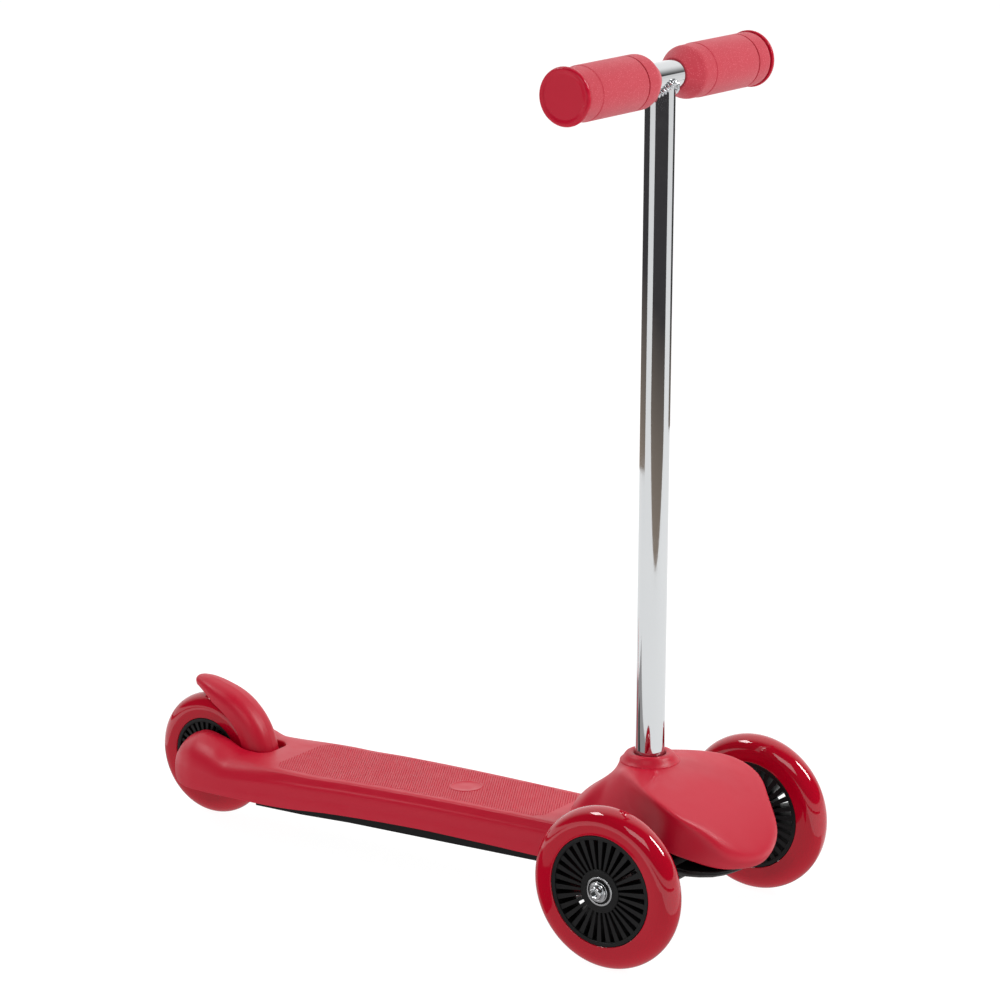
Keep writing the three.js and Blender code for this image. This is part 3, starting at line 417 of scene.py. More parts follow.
upended = addNode(ribTree, "GeometryNodeTransform", {
    "Rotation": (math.pi / 2, 0, 0), "Geometry": fan, "Translation": sizes["Centre"]})
endTree(ribTree, upended, sizes)

for wheel, (radius, centre) in wheels.items():
    tyreSeat = radius - look["seatDepth"]
    bend = np.linspace(-math.pi / 2, math.pi / 2, look["arcSteps"] + 1)
    crown = list(zip(radius - look["tyreHalf"] * (1 - np.cos(bend)), look["tyreHalf"] * np.sin(bend)))
    lip = rounded([(tyreSeat, -look["seatHalf"], look["lip"]), (*crown[0], 0), (*crown[-1], 0),
                   (tyreSeat, look["seatHalf"], look["lip"])])
    tyre = turnedPiece(f"{wheel}_cast_tyre", [lip[:5] + crown + lip[-5:]], castPolyurethane, "Y", centre,
                       look["steps"], 50)
    settle(tyre, wheel, [f"{wheel}_tyre"])
    rim, half = tyreSeat - seat, look["rimHalf"]
    hubSections = [band(rim - look["rimThick"], rim, -half, half, (0.9, 0.5, 0.5, 0.9)),
                   band(look["bearing"] + seat, look["bossRadius"], -half, half, (0.4, 1.2, 1.2, 0.4))]
    hub = turnedPiece(f"{wheel}_moulded_hub", hubSections, filledNylon, "Y", centre, 120, 50)
    settle(hub, wheel, [f"{wheel}_hub"])
    ribSizes.update({"Outer": (rim - look["rimThick"] + 0.8) * mm, "Centre": spotOf(centre)})
    ribs = grown(f"{wheel}_hub_ribs", ribTree, ribSizes, filledNylon)
    settle(ribs, wheel, [f"{wheel}_hub"])
    races, seals = [], []
    for outward in (-1, 1):
        face, back = outward * half, outward * (half - look["bearingWide"])
        races.append(band(look["race"], look["bearing"], back, face, (0.2, 0.3, 0.4, 0.3)))
        races.append(band(look["bore"], look["innerRace"], back, face, (0.2, 0.3, 0.3, 0.3)))
        inset = outward * (half - look["sealIn"])
        seals.append(band(look["innerRace"] + 0.1, look["race"] - 0.1, inset - outward * look["sealThick"], inset,
                          (0.1, 0.1, 0.4, 0.4)))
    for bearingPart, sections, material in (("races", races, zincPlate), ("seals", seals, vulcanisedRubber)):
        bearing = turnedPiece(f"{wheel}_bearing_{bearingPart}", sections, material, "Y", centre, 72, 45)
        settle(bearing, wheel, [f"{wheel}_bearing_left", f"{wheel}_bearing_right"])
print("wheels made")

# Front axle bolts: a flanged dome with a hexagon socket, over a washer. Each row of the head is a radius and
# how far it stands out from the washer.
boltLook = {"faceY": 115.25, "bore": 4.3, "washer": 7.8, "washerThick": 1.2, "headHeight": 4.4, "socket": 2.5,
            "socketDepth": 2.6, "shankEnd": 52.4, "steps": 72,
            "flange": [(4.0, 0), (6.7, 0), (7.0, 0.3), (7.0, 0.9), (6.6, 1.3), (5.7, 1.45), (5.25, 1.3), (5.1, 1.6)]}
look = boltLook
hexagon = look["socket"] / np.cos((wholeTurn(look["steps"]) % (math.pi / 3)) - math.pi / 6)
for sideName, outward in (("left", 1), ("right", -1)):
    centre = (0, 0, 61)
    base = outward * (look["faceY"] + seat)
    washer = band(look["bore"], look["washer"], base, base + outward * look["washerThick"], (0.1, 0.2, 0.4, 0.1))
    settle(turnedPiece(f"front_axle_turned_washer_{sideName}", [washer], zincPlate, "Y", centre, 72), "truck",
           [f"front_axle_washer_{sideName}"])
    low = outward * (look["faceY"] + look["washerThick"] + 2 * seat)
    shank = outward * look["shankEnd"]
    head = [(0.0, shank), (3.6, shank), (4.0, shank + outward * 0.4)]
    head += [(radius, low + outward * rise) for radius, rise in look["flange"]]
    for t in np.linspace(0, 1, 9)[1:]:
        head.append((3.3 + 1.8 * math.cos(t * math.pi / 2), low + outward * (2.2 + 2.2 * math.sin(t * math.pi / 2))))
    crown = low + outward * look["headHeight"]
    floor = crown - outward * look["socketDepth"]
    head += [(hexagon + 0.3, crown), (hexagon, crown - outward * 0.3), (hexagon, floor), (0.0, floor)]
    bolt = turnedPiece(f"front_axle_dome_bolt_{sideName}", [head], zincPlate, "Y", centre, look["steps"], 35)
    settle(bolt, "truck", [f"front_axle_bolt_{sideName}"])
print("axle bolts made")

# Handlebar: a chromed stem, coped under the crossbar and welded to it
barLook = {"stemX": -31.5, "height": 635, "tube": 11.0, "wall": 1.5, "foot": 80.7, "barEnd": 120.2, "steps": 96}
look = barLook
stemTurn = wholeTurn(look["steps"])
stemRings = []
for radius, way in ((look["tube"], 1), (look["tube"] - look["wall"], -1)):
    cope = (look["tube"] + seat) ** 2 - (radius * np.cos(stemTurn)) ** 2
    coped = look["height"] - np.sqrt(np.maximum(cope, 0))
    for level in (look["foot"], 600.0, coped)[::way]:
        ring = np.stack([radius * np.cos(stemTurn), radius * np.sin(stemTurn), level + 0 * stemTurn], axis=1)
        stemRings.append(ring + (look["stemX"], 0, 0))
stem = newPiece("stem_chromed_tube", np.concatenate(stemRings),
                gridFaces(len(stemRings), look["steps"], closeRows=True, closeColumns=True), chromiumPlate, 30)
settle(stem, "frame", ["stem_tube"])
barSection = band(look["tube"] - look["wall"], look["tube"], -look["barEnd"], look["barEnd"], (0.3, 0.4, 0.4, 0.3))
bar = turnedPiece("crossbar_chromed_tube", [barSection], chromiumPlate, "Y", (look["stemX"], 0, look["height"]),
                  look["steps"])
settle(bar, "frame", ["crossbar"])

# The weld follows the cope: a ring of points swept with a rippled bead
weldLook = {"bead": 2.0, "ripple": 0.34, "rippleMm": 2.3, "step": 0.5, "seed": 4.0, "radius": 11.2, "cope": 11.6,
            "points": 120}
look = weldLook
weldSizes = {"Bead": look["bead"] * mm, "Ripple": look["ripple"], "Pitch": look["rippleMm"] * mm,
             "Step": look["step"] * mm, "Seed": look["seed"]}
weldTree, sizes = newTree("weld_bead", weldSizes)
line = addNode(weldTree, "GeometryNodeMeshToCurve", {"Mesh": sizes["Geometry"]})
fine = addNode(weldTree, "GeometryNodeResampleCurve", {"mode": "LENGTH", "Curve": line, "Length": sizes["Step"]})
way = addNode(weldTree, "GeometryNodeSplineParameter")
beat = calc(weldTree, "DIVIDE", way.outputs["Length"], sizes["Pitch"])
wave = calc(weldTree, "SINE", calc(weldTree, "MULTIPLY", beat, 2 * math.pi))
spatter = addNode(weldTree, "ShaderNodeTexNoise", {"noise_dimensions": "4D", "Scale": 600.0, "W": sizes["Seed"]})
swing = calc(weldTree, "MULTIPLY_ADD", calc(weldTree, "ADD", wave, spatter), sizes["Ripple"], 1.0)
thick = addNode(weldTree, "GeometryNodeSetCurveRadius", {"Curve": fine, "Radius": swing})
section = addNode(weldTree, "GeometryNodeCurvePrimitiveCircle", {"Resolution": 12, "Radius": sizes["Bead"]})
bead = addNode(weldTree, "GeometryNodeCurveToMesh", {"Curve": thick, "Profile Curve": section, "Scale": swing})
endTree(weldTree, bead, sizes)
weldTurn = wholeTurn(look["points"])
weldX, weldY = look["radius"] * np.cos(weldTurn), look["radius"] * np.sin(weldTurn)
weldZ = barLook["height"] - np.sqrt(np.maximum(look["cope"] ** 2 - weldX ** 2, 0.4)) - 0.2
weldPoints = np.stack([weldX + barLook["stemX"], weldY, weldZ], axis=1)
weld = grown("crossbar_weld_bead", weldTree, weldSizes, platedWeld, weldPoints,
             [(i, (i + 1) % look["points"]) for i in range(look["points"])])
weld.data.shade_smooth()
settle(weld, "frame")
print("handlebar made")

# Foam grips: a cone at the inner end, a groove near one end and a slightly thinner band at the other
gripLook = {"radius": 20, "coneFoot": 28.5, "cone": 12, "coneRadius": 11.2, "band": 16.5, "step": 0.5,
            "grooveDeep": 1.0, "face": 120.5, "steps": 128}
look = gripLook
half, outer = (look["face"] - seat - look["coneFoot"]) / 2, look["radius"]
thin = outer - look["step"]
bore = barLook["tube"] + 0.05


def gripEnd(radius, way, isCone):
    look = gripLook
    tip = way * (half + look["cone"])
    if isCone:
        return [(radius, way * (half - 5), 0), (radius - 0.2, way * (half - 2.2), 2.0),
                (look["coneRadius"] + 0.6, tip, 1.0), (bore, tip, 0.3)]
    return [(radius, way * (half - 4.5), 0), (radius - 0.1, way * half, 2.6), (bore, way * half, 0.3)]


for gripName, outward in (("left", 1), ("right", -1)):
    groove = half - look["band"]
    bottom = outer - look["grooveDeep"]
    corners = gripEnd(thin, -1, outward > 0)[::-1]
    corners += [(thin, look["band"] - half, 0.4), (outer, look["band"] + 0.7 - half, 0.4), (outer, groove - 0.7, 0.4),
                (bottom, groove - 0.5, 0.25), (bottom, groove + 0.5, 0.25), (outer, groove + 0.7, 0.4)]
    corners += gripEnd(outer, 1, outward < 0)
    grip = turnedPiece(f"grip_foam_{gripName}", [rounded(corners, 5)], foamRubber, "Y",
                       (barLook["stemX"], outward * (look["coneFoot"] + half), barLook["height"]), look["steps"], 60)
    settle(grip, "frame", [f"grip_{gripName}"])

# Push-in end caps: a rolled rim round a shallow dish
capLook = {"face": 120.5, "radius": 21.2, "thick": 4, "flat": 17, "dish": 1.0, "plug": 9.2, "plugLength": 14}
look = capLook
for capName, outward in (("left", 1), ("right", -1)):
    tip, inner = outward * look["thick"], -outward * look["plugLength"]
    dish = tip - outward * look["dish"]
    corners = [(0, inner, 0), (look["plug"], inner, 1.0), (look["plug"], 0, 0), (look["radius"] - 0.5, 0, 0.4),
               (look["radius"], outward * 1.6, 1.0), (look["radius"] - 1.3, tip, 1.3),
               (look["flat"] + 0.6, tip - outward * 0.35, 0.8), (look["flat"] - 1.0, dish, 0.8), (0, dish, 0)]
    cap = turnedPiece(f"grip_end_disc_{capName}", [rounded(corners)], mouldedAbs, "Y",
                      (barLook["stemX"], outward * look["face"], barLook["height"]), 128, 60)
    settle(cap, "frame", [f"grip_end_cap_{capName}"])
print("grips and caps made")

# Nose cover: a smooth bonnet that turns down over a ridge. Radii by the angle from straight ahead, and the
# height of the bonnet by the way forward and across from the stem
noseLook = {"top": 124, "wall": 2.5, "hole": 13.5, "collar": 22, "turns": 144, "steps": 76, "passes": 44,
            "dip": 50.2, "reach": 98.5, "power": 2.637, "across": 0.00033, "behind": 0.0191,
            "ridge": [(0, 98.2), (12, 97.8), (22, 95.4), (31, 92.4), (38, 90.1), (46, 85.5), (52, 78.6), (57, 71.1),
                      (64, 60.4), (76, 46), (90, 36.5), (110, 30.5), (130, 28), (150, 27.5), (180, 27.5)],
            "waist": [(0, 107.3), (22, 104.5), (38, 80.5), (46, 78.5), (57, 61), (76, 44), (100, 43.4), (120, 46.1),
                      (140, 60), (180, 62.3)],
            "skirt": [(0, 97.9), (22, 92.2), (38, 77), (46, 72.5), (57, 57), (76, 53), (100, 47.6), (120, 48),
                      (140, 59), (180, 62.5)],
            "soft": [(0, 0.6), (20, 0.8), (30, 0.8), (38, 0.5), (46, 0.2), (58, 0.2), (78, 1), (180, 1)],
            "skirtUp": [(0, 62.3), (20, 65.3), (30, 69.5), (38, 73.2), (46, 76.5), (57, 83), (76, 84.3), (100, 78),
                        (120, 72.3), (180, 72.3)]}


def bonnet(x, y):
    look = noseLook
    ahead = look["dip"] * (np.maximum(x, 0) / look["reach"]) ** look["power"]
    return look["top"] - ahead - look["behind"] * np.minimum(x, 0) ** 2 - look["across"] * y * y


def noseSection(degrees):
    look = noseLook
    ridge, waist, skirt, foot = (along(look[key], abs(degrees)) for key in ("ridge", "waist", "skirt", "skirtUp"))
    turn = math.radians(degrees)
    s = np.linspace(0, 1, 61)
    t = s[1:]
    crown = look["collar"] + (ridge - look["collar"]) * s
    crownUp = bonnet(crown * math.cos(turn), crown * math.sin(turn))
    crownUp += (look["top"] - crownUp[0]) * (1 - s) ** 2
    r = np.concatenate([crown, ridge * (1 - t) ** 2 + 2 * waist * t * (1 - t) + skirt * t * t])
    z = np.concatenate([crownUp, crownUp[-1] + (foot - crownUp[-1]) * t])
    way = np.concatenate([[0], np.cumsum(np.hypot(np.diff(r), np.diff(z)))])
    even = np.linspace(0, way[-1], look["steps"])
    return np.stack([np.interp(even, way, r), np.interp(even, way, z)], axis=1)


look = noseLook
noseTurns = 360 * np.arange(look["turns"]) / look["turns"] - 180
noseSkin = np.stack([noseSection(turn) for turn in noseTurns])
noseSoft = along(look["soft"], abs(noseTurns))[:, None, None]
for i in range(look["passes"]):
    noseSkin[:, 1:-1] += noseSoft * (noseSkin[:, :-2] - 2 * noseSkin[:, 1:-1] + noseSkin[:, 2:]) / 4
for i in range(4):
    noseSkin = (np.roll(noseSkin, 1, 0) + 2 * noseSkin + np.roll(noseSkin, -1, 0)) / 4
noseRings = []
for turn, skin in zip(np.radians(noseTurns), noseSkin):
    profile = np.concatenate([[(look["hole"], look["top"])], skin])
    way = np.gradient(profile, axis=0)
    way /= np.linalg.norm(way, axis=1)[:, None]
    inward = np.stack([way[:, 1], -way[:, 0]], axis=1)
    inward[0], inward[-1] = (0, -1), (-1, 0)
    inner = profile + look["wall"] * inward
    lip = [profile[-1] * (1 - s) + inner[-1] * s - (0, 0.6 * math.sin(s * math.pi)) for s in (0.2, 0.5, 0.8)]
    r, z = np.concatenate([profile, lip, inner[::-1]]).T
    noseRings.append(np.stack([r * math.cos(turn) + barLook["stemX"], r * math.sin(turn), z], axis=1))
nose = newPiece("nose_moulded_cover", np.concatenate(noseRings),
                gridFaces(len(noseRings), len(noseRings[0]), closeRows=True, closeColumns=True),
                mouldedPolypropylene, 50)
settle(nose, "frame", ["nose_cover"])

# Collar: a moulded ring with a chamfered top, open round the stem
collarSection = rounded([(11.5, 123.2, 0.2), (22.4, 123.2, 0.3), (22.6, 124.2, 0.7), (20.6, 125.9, 1.6),
                         (17.8, 130.2, 1.6), (14.6, 130.8, 1.0), (12.4, 130.2, 0.8), (11.5, 128.6, 0.8)])
collar = turnedPiece("stem_moulded_collar", [collarSection], mouldedPolypropylene, "Z", (barLook["stemX"], 0, 0),
                     120, 60)
settle(collar, "frame", ["stem_collar"])
print("nose and collar made")

# Deck: half sections along its length, opened by the wheel slot whose edge is rolled over. The tables go by
# the share of the length, and the edge's height by the way behind the front axle.
deckLook = {"front": -48, "rear": -470, "halfWidth": 48.5, "top": 72, "baseFront": 45.5, "fall": 13, "wall": 2.6,
            "slotFront": -384.5, "slotHalf": 17, "slotCorner": 10, "roll": 1.5, "bend": -372, "tail": -458,
            "outerColumns": 44,
            "width": [(0, 0.82), (0.15, 0.845), (0.34, 0.9), (0.56, 0.97), (0.7, 1), (0.84, 1), (0.917, 0.96),
                      (0.953, 0.87), (0.976, 0.75), (0.993, 0.6), (1, 0.46)],
            "crown": [(0, 1), (0.16, 0.99), (0.36, 0.97), (0.56, 0.93), (0.67, 0.898), (0.78, 0.9), (0.84, 0.905),
                      (0.885, 0.995), (0.93, 1.04), (0.957, 0.99), (0.981, 0.895), (0.995, 0.778), (1, 0.72)],
            "lower": [(0, 0), (0.94, 0), (0.965, 0.02), (0.983, 0.08), (0.995, 0.19), (1, 0.28)],
            "edge": [(48, 44.2), (116, 44.3), (158, 44.6), (200, 44.6), (243, 43.5), (272, 42.1), (301, 40.3),
                     (316, 38.9), (331, 37.4), (346, 36.2), (361, 35.4), (376, 34.9), (400, 34.3), (470, 32.5)],
            "arm": [(0, 0), (0.66, 0), (0.89, 1), (1, 1)],
            "flatSection": [(0, 1), (0.42, 1), (0.6, 1), (0.8, 1), (0.865, 0.97), (0.897, 0.885), (0.925, 0.788),
                            (0.9635, 0.69), (1, 0.3), (0.99, 0)],
            "armSection": [(0, 1), (0.4, 1), (0.53, 0.985), (0.7, 0.91), (0.8, 0.83), (0.89, 0.72), (0.955, 0.57),
                           (0.993, 0.38), (1, 0.15), (0.985, 0)]}
sectionPlace = np.linspace(0, 9, 361)
flatY, flatZ = pairCurves(deckLook["flatSection"], sectionPlace)
armY, armZ = pairCurves(deckLook["armSection"], sectionPlace)
corner = deckLook["slotFront"] - deckLook["slotCorner"]
slotStraight = deckLook["slotHalf"] - deckLook["slotCorner"]


def deckShare(key, x):
    look = deckLook
    return along(look[key], (look["front"] - x) / (look["front"] - look["rear"]))


def deckTop(x):
    return deckShare("crown", x) * deckLook["top"]


# One half section at x: across and up for every place on the section table, and the lower edge's height
def deckHalf(x):
    width = deckShare("width", x) * deckLook["halfWidth"]
    base = along(deckLook["edge"], -x)
    low = base + deckShare("lower", x) * (deckLook["top"] - base)
    arm = deckShare("arm", x)
    across = (flatY * (1 - arm) + armY * arm) * width
    return across, low + (flatZ * (1 - arm) + armZ * arm) * (deckTop(x) - low), low


# How far a point lies outside the slot
def slotDistance(x, y):
    acrossBy = np.abs(y) - slotStraight
    aheadBy = x - corner + 0 * acrossBy
    outside = np.hypot(np.maximum(acrossBy, 0), np.maximum(aheadBy, 0))
    return outside + np.minimum(np.maximum(acrossBy, aheadBy), 0) - deckLook["slotCorner"]


def slotEdge(x):
    ahead = min(max(x - corner, 0), deckLook["slotCorner"])
    return slotStraight + math.sqrt(deckLook["slotCorner"] ** 2 - ahead ** 2)


def rolled(x, y, z):
    roll = deckLook["roll"]
    near = np.clip(roll - slotDistance(x, y), 0, roll)
    return z - (roll - np.sqrt(roll ** 2 - near ** 2))


look = deckLook
quarter = np.linspace(0, math.pi / 2, 17)[1:]
frontRows = np.concatenate([np.linspace(look["front"], look["bend"], 66), look["slotFront"] + np.array(
    [7, 6, 5, 4, 3.4, 2.8, 2.2, 1.7, 1.2, 0.8, 0.4, 0.15, 0])])
cornerRows = corner + look["slotCorner"] * np.cos(np.linspace(0, math.pi / 2, 15)[1:])
tailRows = np.concatenate([np.linspace(corner, look["tail"], 34)[1:],
                           look["tail"] + (look["rear"] - look["tail"]) * np.sin(quarter)])
nearOffsets = np.array([0, 0.15, 0.4, 0.8, 1.3, 1.9, 2.6, 3.4, 4.4])
slotColumns = slotStraight * np.array([0, 0.25, 0.5, 0.7, 0.82, 0.9, 0.95, 0.98, 1])
wallShares = np.linspace(0, 1, 7)


def deckRow(x):
    across, up, low = deckHalf(x)
    rising = int(np.argmax(across)) + 1
    start = slotEdge(x)
    near = start + nearOffsets * min(1, (across[rising - 1] - start) / 9)
    places = np.interp(near, across[:rising], sectionPlace[:rising])
    rest = np.linspace(places[-1], 9, deckLook["outerColumns"] + 1)[1:]
    y = np.concatenate([near, np.interp(rest, sectionPlace, across)])
    z = np.concatenate([np.interp(places, sectionPlace, up), np.interp(rest, sectionPlace, up)])
    topSide = np.arange(len(y)) < len(near) + 4
    return y, np.where(topSide, rolled(x, y, z), z), low


# A row of points at one x
def rowAt(x, y, z):
    return np.stack([np.full(len(z), x), y + 0 * z, z], axis=1)


deckPoints, deckFaces = [], []
for mirror in (1, -1):
    skin, slotWall, ahead = [], [], []
    for x in np.concatenate([frontRows, cornerRows, tailRows]):
        y, z, low = deckRow(x)
        skin.append(rowAt(x, mirror * y, z))
        if x <= look["slotFront"] + 1e-6:
            slotWall.append(rowAt(x, mirror * y[0], z[0] + (low - z[0]) * wallShares))
    for x in frontRows:
        across, up, low = deckHalf(x)
        z = rolled(x, slotColumns, np.interp(slotColumns, across[:200], up[:200]))
        ahead.append(rowAt(x, mirror * slotColumns, z))
    frontWall = [rowAt(look["slotFront"], mirror * slotColumns, z + (low - z) * share) for share in wallShares]
    for patch in (skin, slotWall, ahead, frontWall):
        deckFaces.extend(gridFaces(len(patch), len(patch[0]), first=len(deckPoints)))
        deckPoints.extend(np.concatenate(patch).tolist())
    loop = np.concatenate([skin[-1], slotWall[-1][::-1][:-1]])
    deckFaces.append(list(range(len(deckPoints), len(deckPoints) + len(loop))))
    deckPoints.extend(loop.tolist())
deck = newPiece("deck_moulded_shell", deckPoints, deckFaces, mouldedPolypropylene, 50)
if deck.data.polygons[10].normal.z < 0:
    deck.data.flip_normals()
shellWall = deck.modifiers.new("wall", "SOLIDIFY")
shellWall.thickness = look["wall"] * mm
shellWall.offset = -1
shellWall.use_even_offset = False
settle(deck, "frame", ["deck_shell"])

# Bosses that hold the rear axle between the arms and the hub
saddleSections = [band(4.4, 10, outward * 12.4, outward * 18.2, (0.3, 0.8, 0.3, 0.3)) for outward in (-1, 1)]
saddles = turnedPiece("deck_axle_saddles", saddleSections, mouldedPolypropylene, "Y", (-wheelbase, 0, 50), 64)
settle(saddles, "frame", ["deck_shell"])
print("deck made")

# Tread of the deck: low domes in staggered rows, dropped on to the deck's top inside the panel's outline
treadLook = {"front": -110, "rear": -361, "side": 2, "pitch": 2.1, "dome": 0.62, "height": 0.32, "roundX": -199,
             "round": 13, "flatShare": 0.8, "field": 96}
look = treadLook
treadX = np.linspace(look["front"], look["rear"], 60)
panelEdge = np.array([deckShare("width", x) * deckLook["halfWidth"] * look["flatShare"] - look["side"]
                      for x in treadX])
endEase = np.sqrt((1 - (np.abs(np.linspace(-1, 1, 60)) - 0.94).clip(0) / 0.06).clip(0))
panelEdge *= 0.75 + 0.25 * endEase
rim = np.concatenate([np.stack([treadX, panelEdge, 0 * treadX + 40], axis=1),
                      np.stack([treadX, -panelEdge, 0 * treadX + 40], axis=1)[::-1]])
outline = newObject("tread_outline", newMesh("tread_outline", rim, [list(range(len(rim)))]))

treadLength = look["front"] - look["rear"]
treadSizes = {
    "Deck": deck, "Outline": outline, "Length": treadLength * mm, "Width": look["field"] * mm,
    "Rows": int(look["field"] / (look["pitch"] * 0.866)) + 1, "Columns": int(treadLength / look["pitch"]) + 1,
    "Dome": look["dome"] * mm, "Height": look["height"] * mm, "Stagger": look["pitch"] / 2 * mm,
    "Round centre": spotOf((look["roundX"], 0, deckTop(look["roundX"]))), "Round": look["round"] * mm,
    "Centre": spotOf(((look["front"] + look["rear"]) / 2, 0, 300))}
treadTree, sizes = newTree("deck_tread", treadSizes)
field = addNode(treadTree, "GeometryNodeMeshGrid", {
    "Size X": sizes["Length"], "Size Y": sizes["Width"], "Vertices X": sizes["Columns"], "Vertices Y": sizes["Rows"]})
lane = calc(treadTree, "MODULO", addNode(treadTree, "GeometryNodeInputIndex"), sizes["Rows"])
slip = calc(treadTree, "MULTIPLY", calc(treadTree, "MODULO", lane, 2.0), sizes["Stagger"])
moved = addNode(treadTree, "GeometryNodeTransform", {"Geometry": field, "Translation": sizes["Centre"]})
staggered = addNode(treadTree, "GeometryNodeSetPosition", {"Geometry": moved, "Offset": combine(treadTree, X=slip)})
rays = {}
for target in ("Outline", "Deck"):
    shape = addNode(treadTree, "GeometryNodeObjectInfo", {"transform_space": "ORIGINAL", "Object": sizes[target]})
    rays[target] = addNode(treadTree, "GeometryNodeRaycast", {
        "Ray Direction": (0, 0, -1), "Ray Length": 1.0, "Target Geometry": shape.outputs["Geometry"]}).outputs
dropped = addNode(treadTree, "GeometryNodeSetPosition", {
    "Geometry": staggered, "Position": rays["Deck"]["Hit Position"], "Selection": rays["Outline"]["Is Hit"]})
place = addNode(treadTree, "GeometryNodeInputPosition")
height = addNode(treadTree, "ShaderNodeSeparateXYZ", {0: place}).outputs["Z"]
isHigh = addNode(treadTree, "FunctionNodeCompare", {"operation": "GREATER_THAN", "A": height, "B": 0.2})
fromRound = addNode(treadTree, "ShaderNodeVectorMath", {"operation": "DISTANCE", 0: place, 1: sizes["Round centre"]})
isRound = addNode(treadTree, "FunctionNodeCompare", {
    "operation": "LESS_THAN", "A": fromRound.outputs["Value"], "B": sizes["Round"]})
unwanted = addNode(treadTree, "FunctionNodeBooleanMath", {"operation": "OR", 0: isHigh, 1: isRound})
trimmed = addNode(treadTree, "GeometryNodeDeleteGeometry", {
    "domain": "POINT", "Geometry": dropped, "Selection": unwanted})
dome = addNode(treadTree, "GeometryNodeMeshCone", {
    "Vertices": 8, "Side Segments": 2, "Fill Segments": 1, "Radius Bottom": sizes["Dome"],
    "Radius Top": calc(treadTree, "MULTIPLY", sizes["Dome"], 0.45), "Depth": sizes["Height"]})
endTree(treadTree, addNode(treadTree, "GeometryNodeInstanceOnPoints", {"Points": trimmed, "Instance": dome}), sizes)
tread = grown("deck_tread_domes", treadTree, treadSizes, treadPolypropylene)
bpy.data.objects.remove(outline)
settle(tread, "frame")

# The plain round pad in the tread: bare, with a raised ring and a slightly sunk middle
padPoints, padFaces = turnedRings([(0, -0.5), (12.9, -0.5), (12.9, 0.2), (12.7, 0.34), (11.9, 0.34), (11.7, 0.2),
                                   (11.3, 0.06), (6, 0.04), (0, 0.04)], "Z", (look["roundX"], 0, 0), 96)
padPoints = np.array(padPoints)
padPoints[:, 2] += [deckTop(x) for x in padPoints[:, 0]]
settle(newPiece("deck_plain_roundel", padPoints, padFaces, mouldedPolypropylene, 40), "frame")
print("tread made:", len(tread.data.polygons), "faces")

# Brake lever: a tusk-shaped fender of channel section round the rear wheel
brakeLook = {"outer": 61.5, "half": 15.3, "skirt": 19.5, "wall": 2.2, "crown": 3.2, "start": 9.5, "end": 105.5,
             "lift": 3.6, "pivot": (-390.5, 0, 54), "barrel": 5.2, "barrelFrom": 4.8, "barrelTo": 11,
             "width": [(0, 1), (0.5, 1), (0.72, 0.93), (0.86, 0.76), (0.95, 0.55), (1, 0.4)], "close": 0.035,
             "depth": [(0, 1), (0.3, 0.92), (0.65, 0.78), (0.8, 0.61), (0.9, 0.45), (1, 0.3)],
             "rise": [(0, 0), (0.7, 0), (1, 1)],
             "section": [(1, 0), (1, 0.3), (0.92, 0.58), (0.7, 0.81), (0.38, 0.95), (0, 1)]}
look = brakeLook
brakeAcross, brakeUp = pairCurves(look["section"], np.linspace(0, 5, 23))
tipShares = 0.85 + 0.15 * np.sin(np.linspace(0, math.pi / 2, 16)[1:])
brakeRows = []
for share in np.concatenate([np.linspace(0, 0.85, 46), tipShares]):
    turn = math.radians(look["start"] + share * (look["end"] - look["start"]))
    half = along(look["width"], share) * look["half"]
    outer = look["outer"] + along(look["rise"], share) * look["lift"]
    skirt = outer - along(look["depth"], share) * look["skirt"]
    closing = math.sqrt(max(0.002, 1 - max(0, (share - 1 + look["close"]) / look["close"]) ** 2))
    middle = (outer + skirt) / 2
    half, outer, skirt = half * closing, middle + (outer - middle) * closing, middle + (skirt - middle) * closing
    height = outer - skirt
    ring = []
    for halfWidth, rise, way in ((half, height, 1), (half - min(look["wall"], half / 2),
                                                     height - min(look["crown"], height / 2), -1)):
        y = np.concatenate([-brakeAcross * halfWidth, (brakeAcross * halfWidth)[:-1][::-1]])
        r = skirt + np.concatenate([brakeUp * rise, (brakeUp * rise)[:-1][::-1]])
        ring.append(np.stack([y, r], axis=1)[::way])
    y, r = np.concatenate(ring).T
    brakeRows.append(np.stack([r * math.cos(turn) - wheelbase, y, 50 + r * math.sin(turn)], axis=1))
count = len(brakeRows[0])
brakeFaces = gridFaces(len(brakeRows), count, closeColumns=True)
for first in (0, (len(brakeRows) - 1) * count):
    for j in range(count // 2 - 1):
        brakeFaces.append([first + j, first + j + 1, first + count - 2 - j, first + count - 1 - j])
lever = newPiece("brake_moulded_lever", np.concatenate(brakeRows), brakeFaces, mouldedPolypropylene, 50)
softEdges(lever, 0.5, 3, 50)
settle(lever, "brake", ["brake_lever"])
barrelSections = [band(2.8, look["barrel"], outward * look["barrelFrom"], outward * look["barrelTo"],
                       (0.3, 0.6, 0.8, 0.3)) for outward in (-1, 1)]
barrel = turnedPiece("brake_hinge_barrel", barrelSections, mouldedPolypropylene, "Y", look["pivot"], 64)
settle(barrel, "brake", ["brake_lever"])
print("brake lever made")

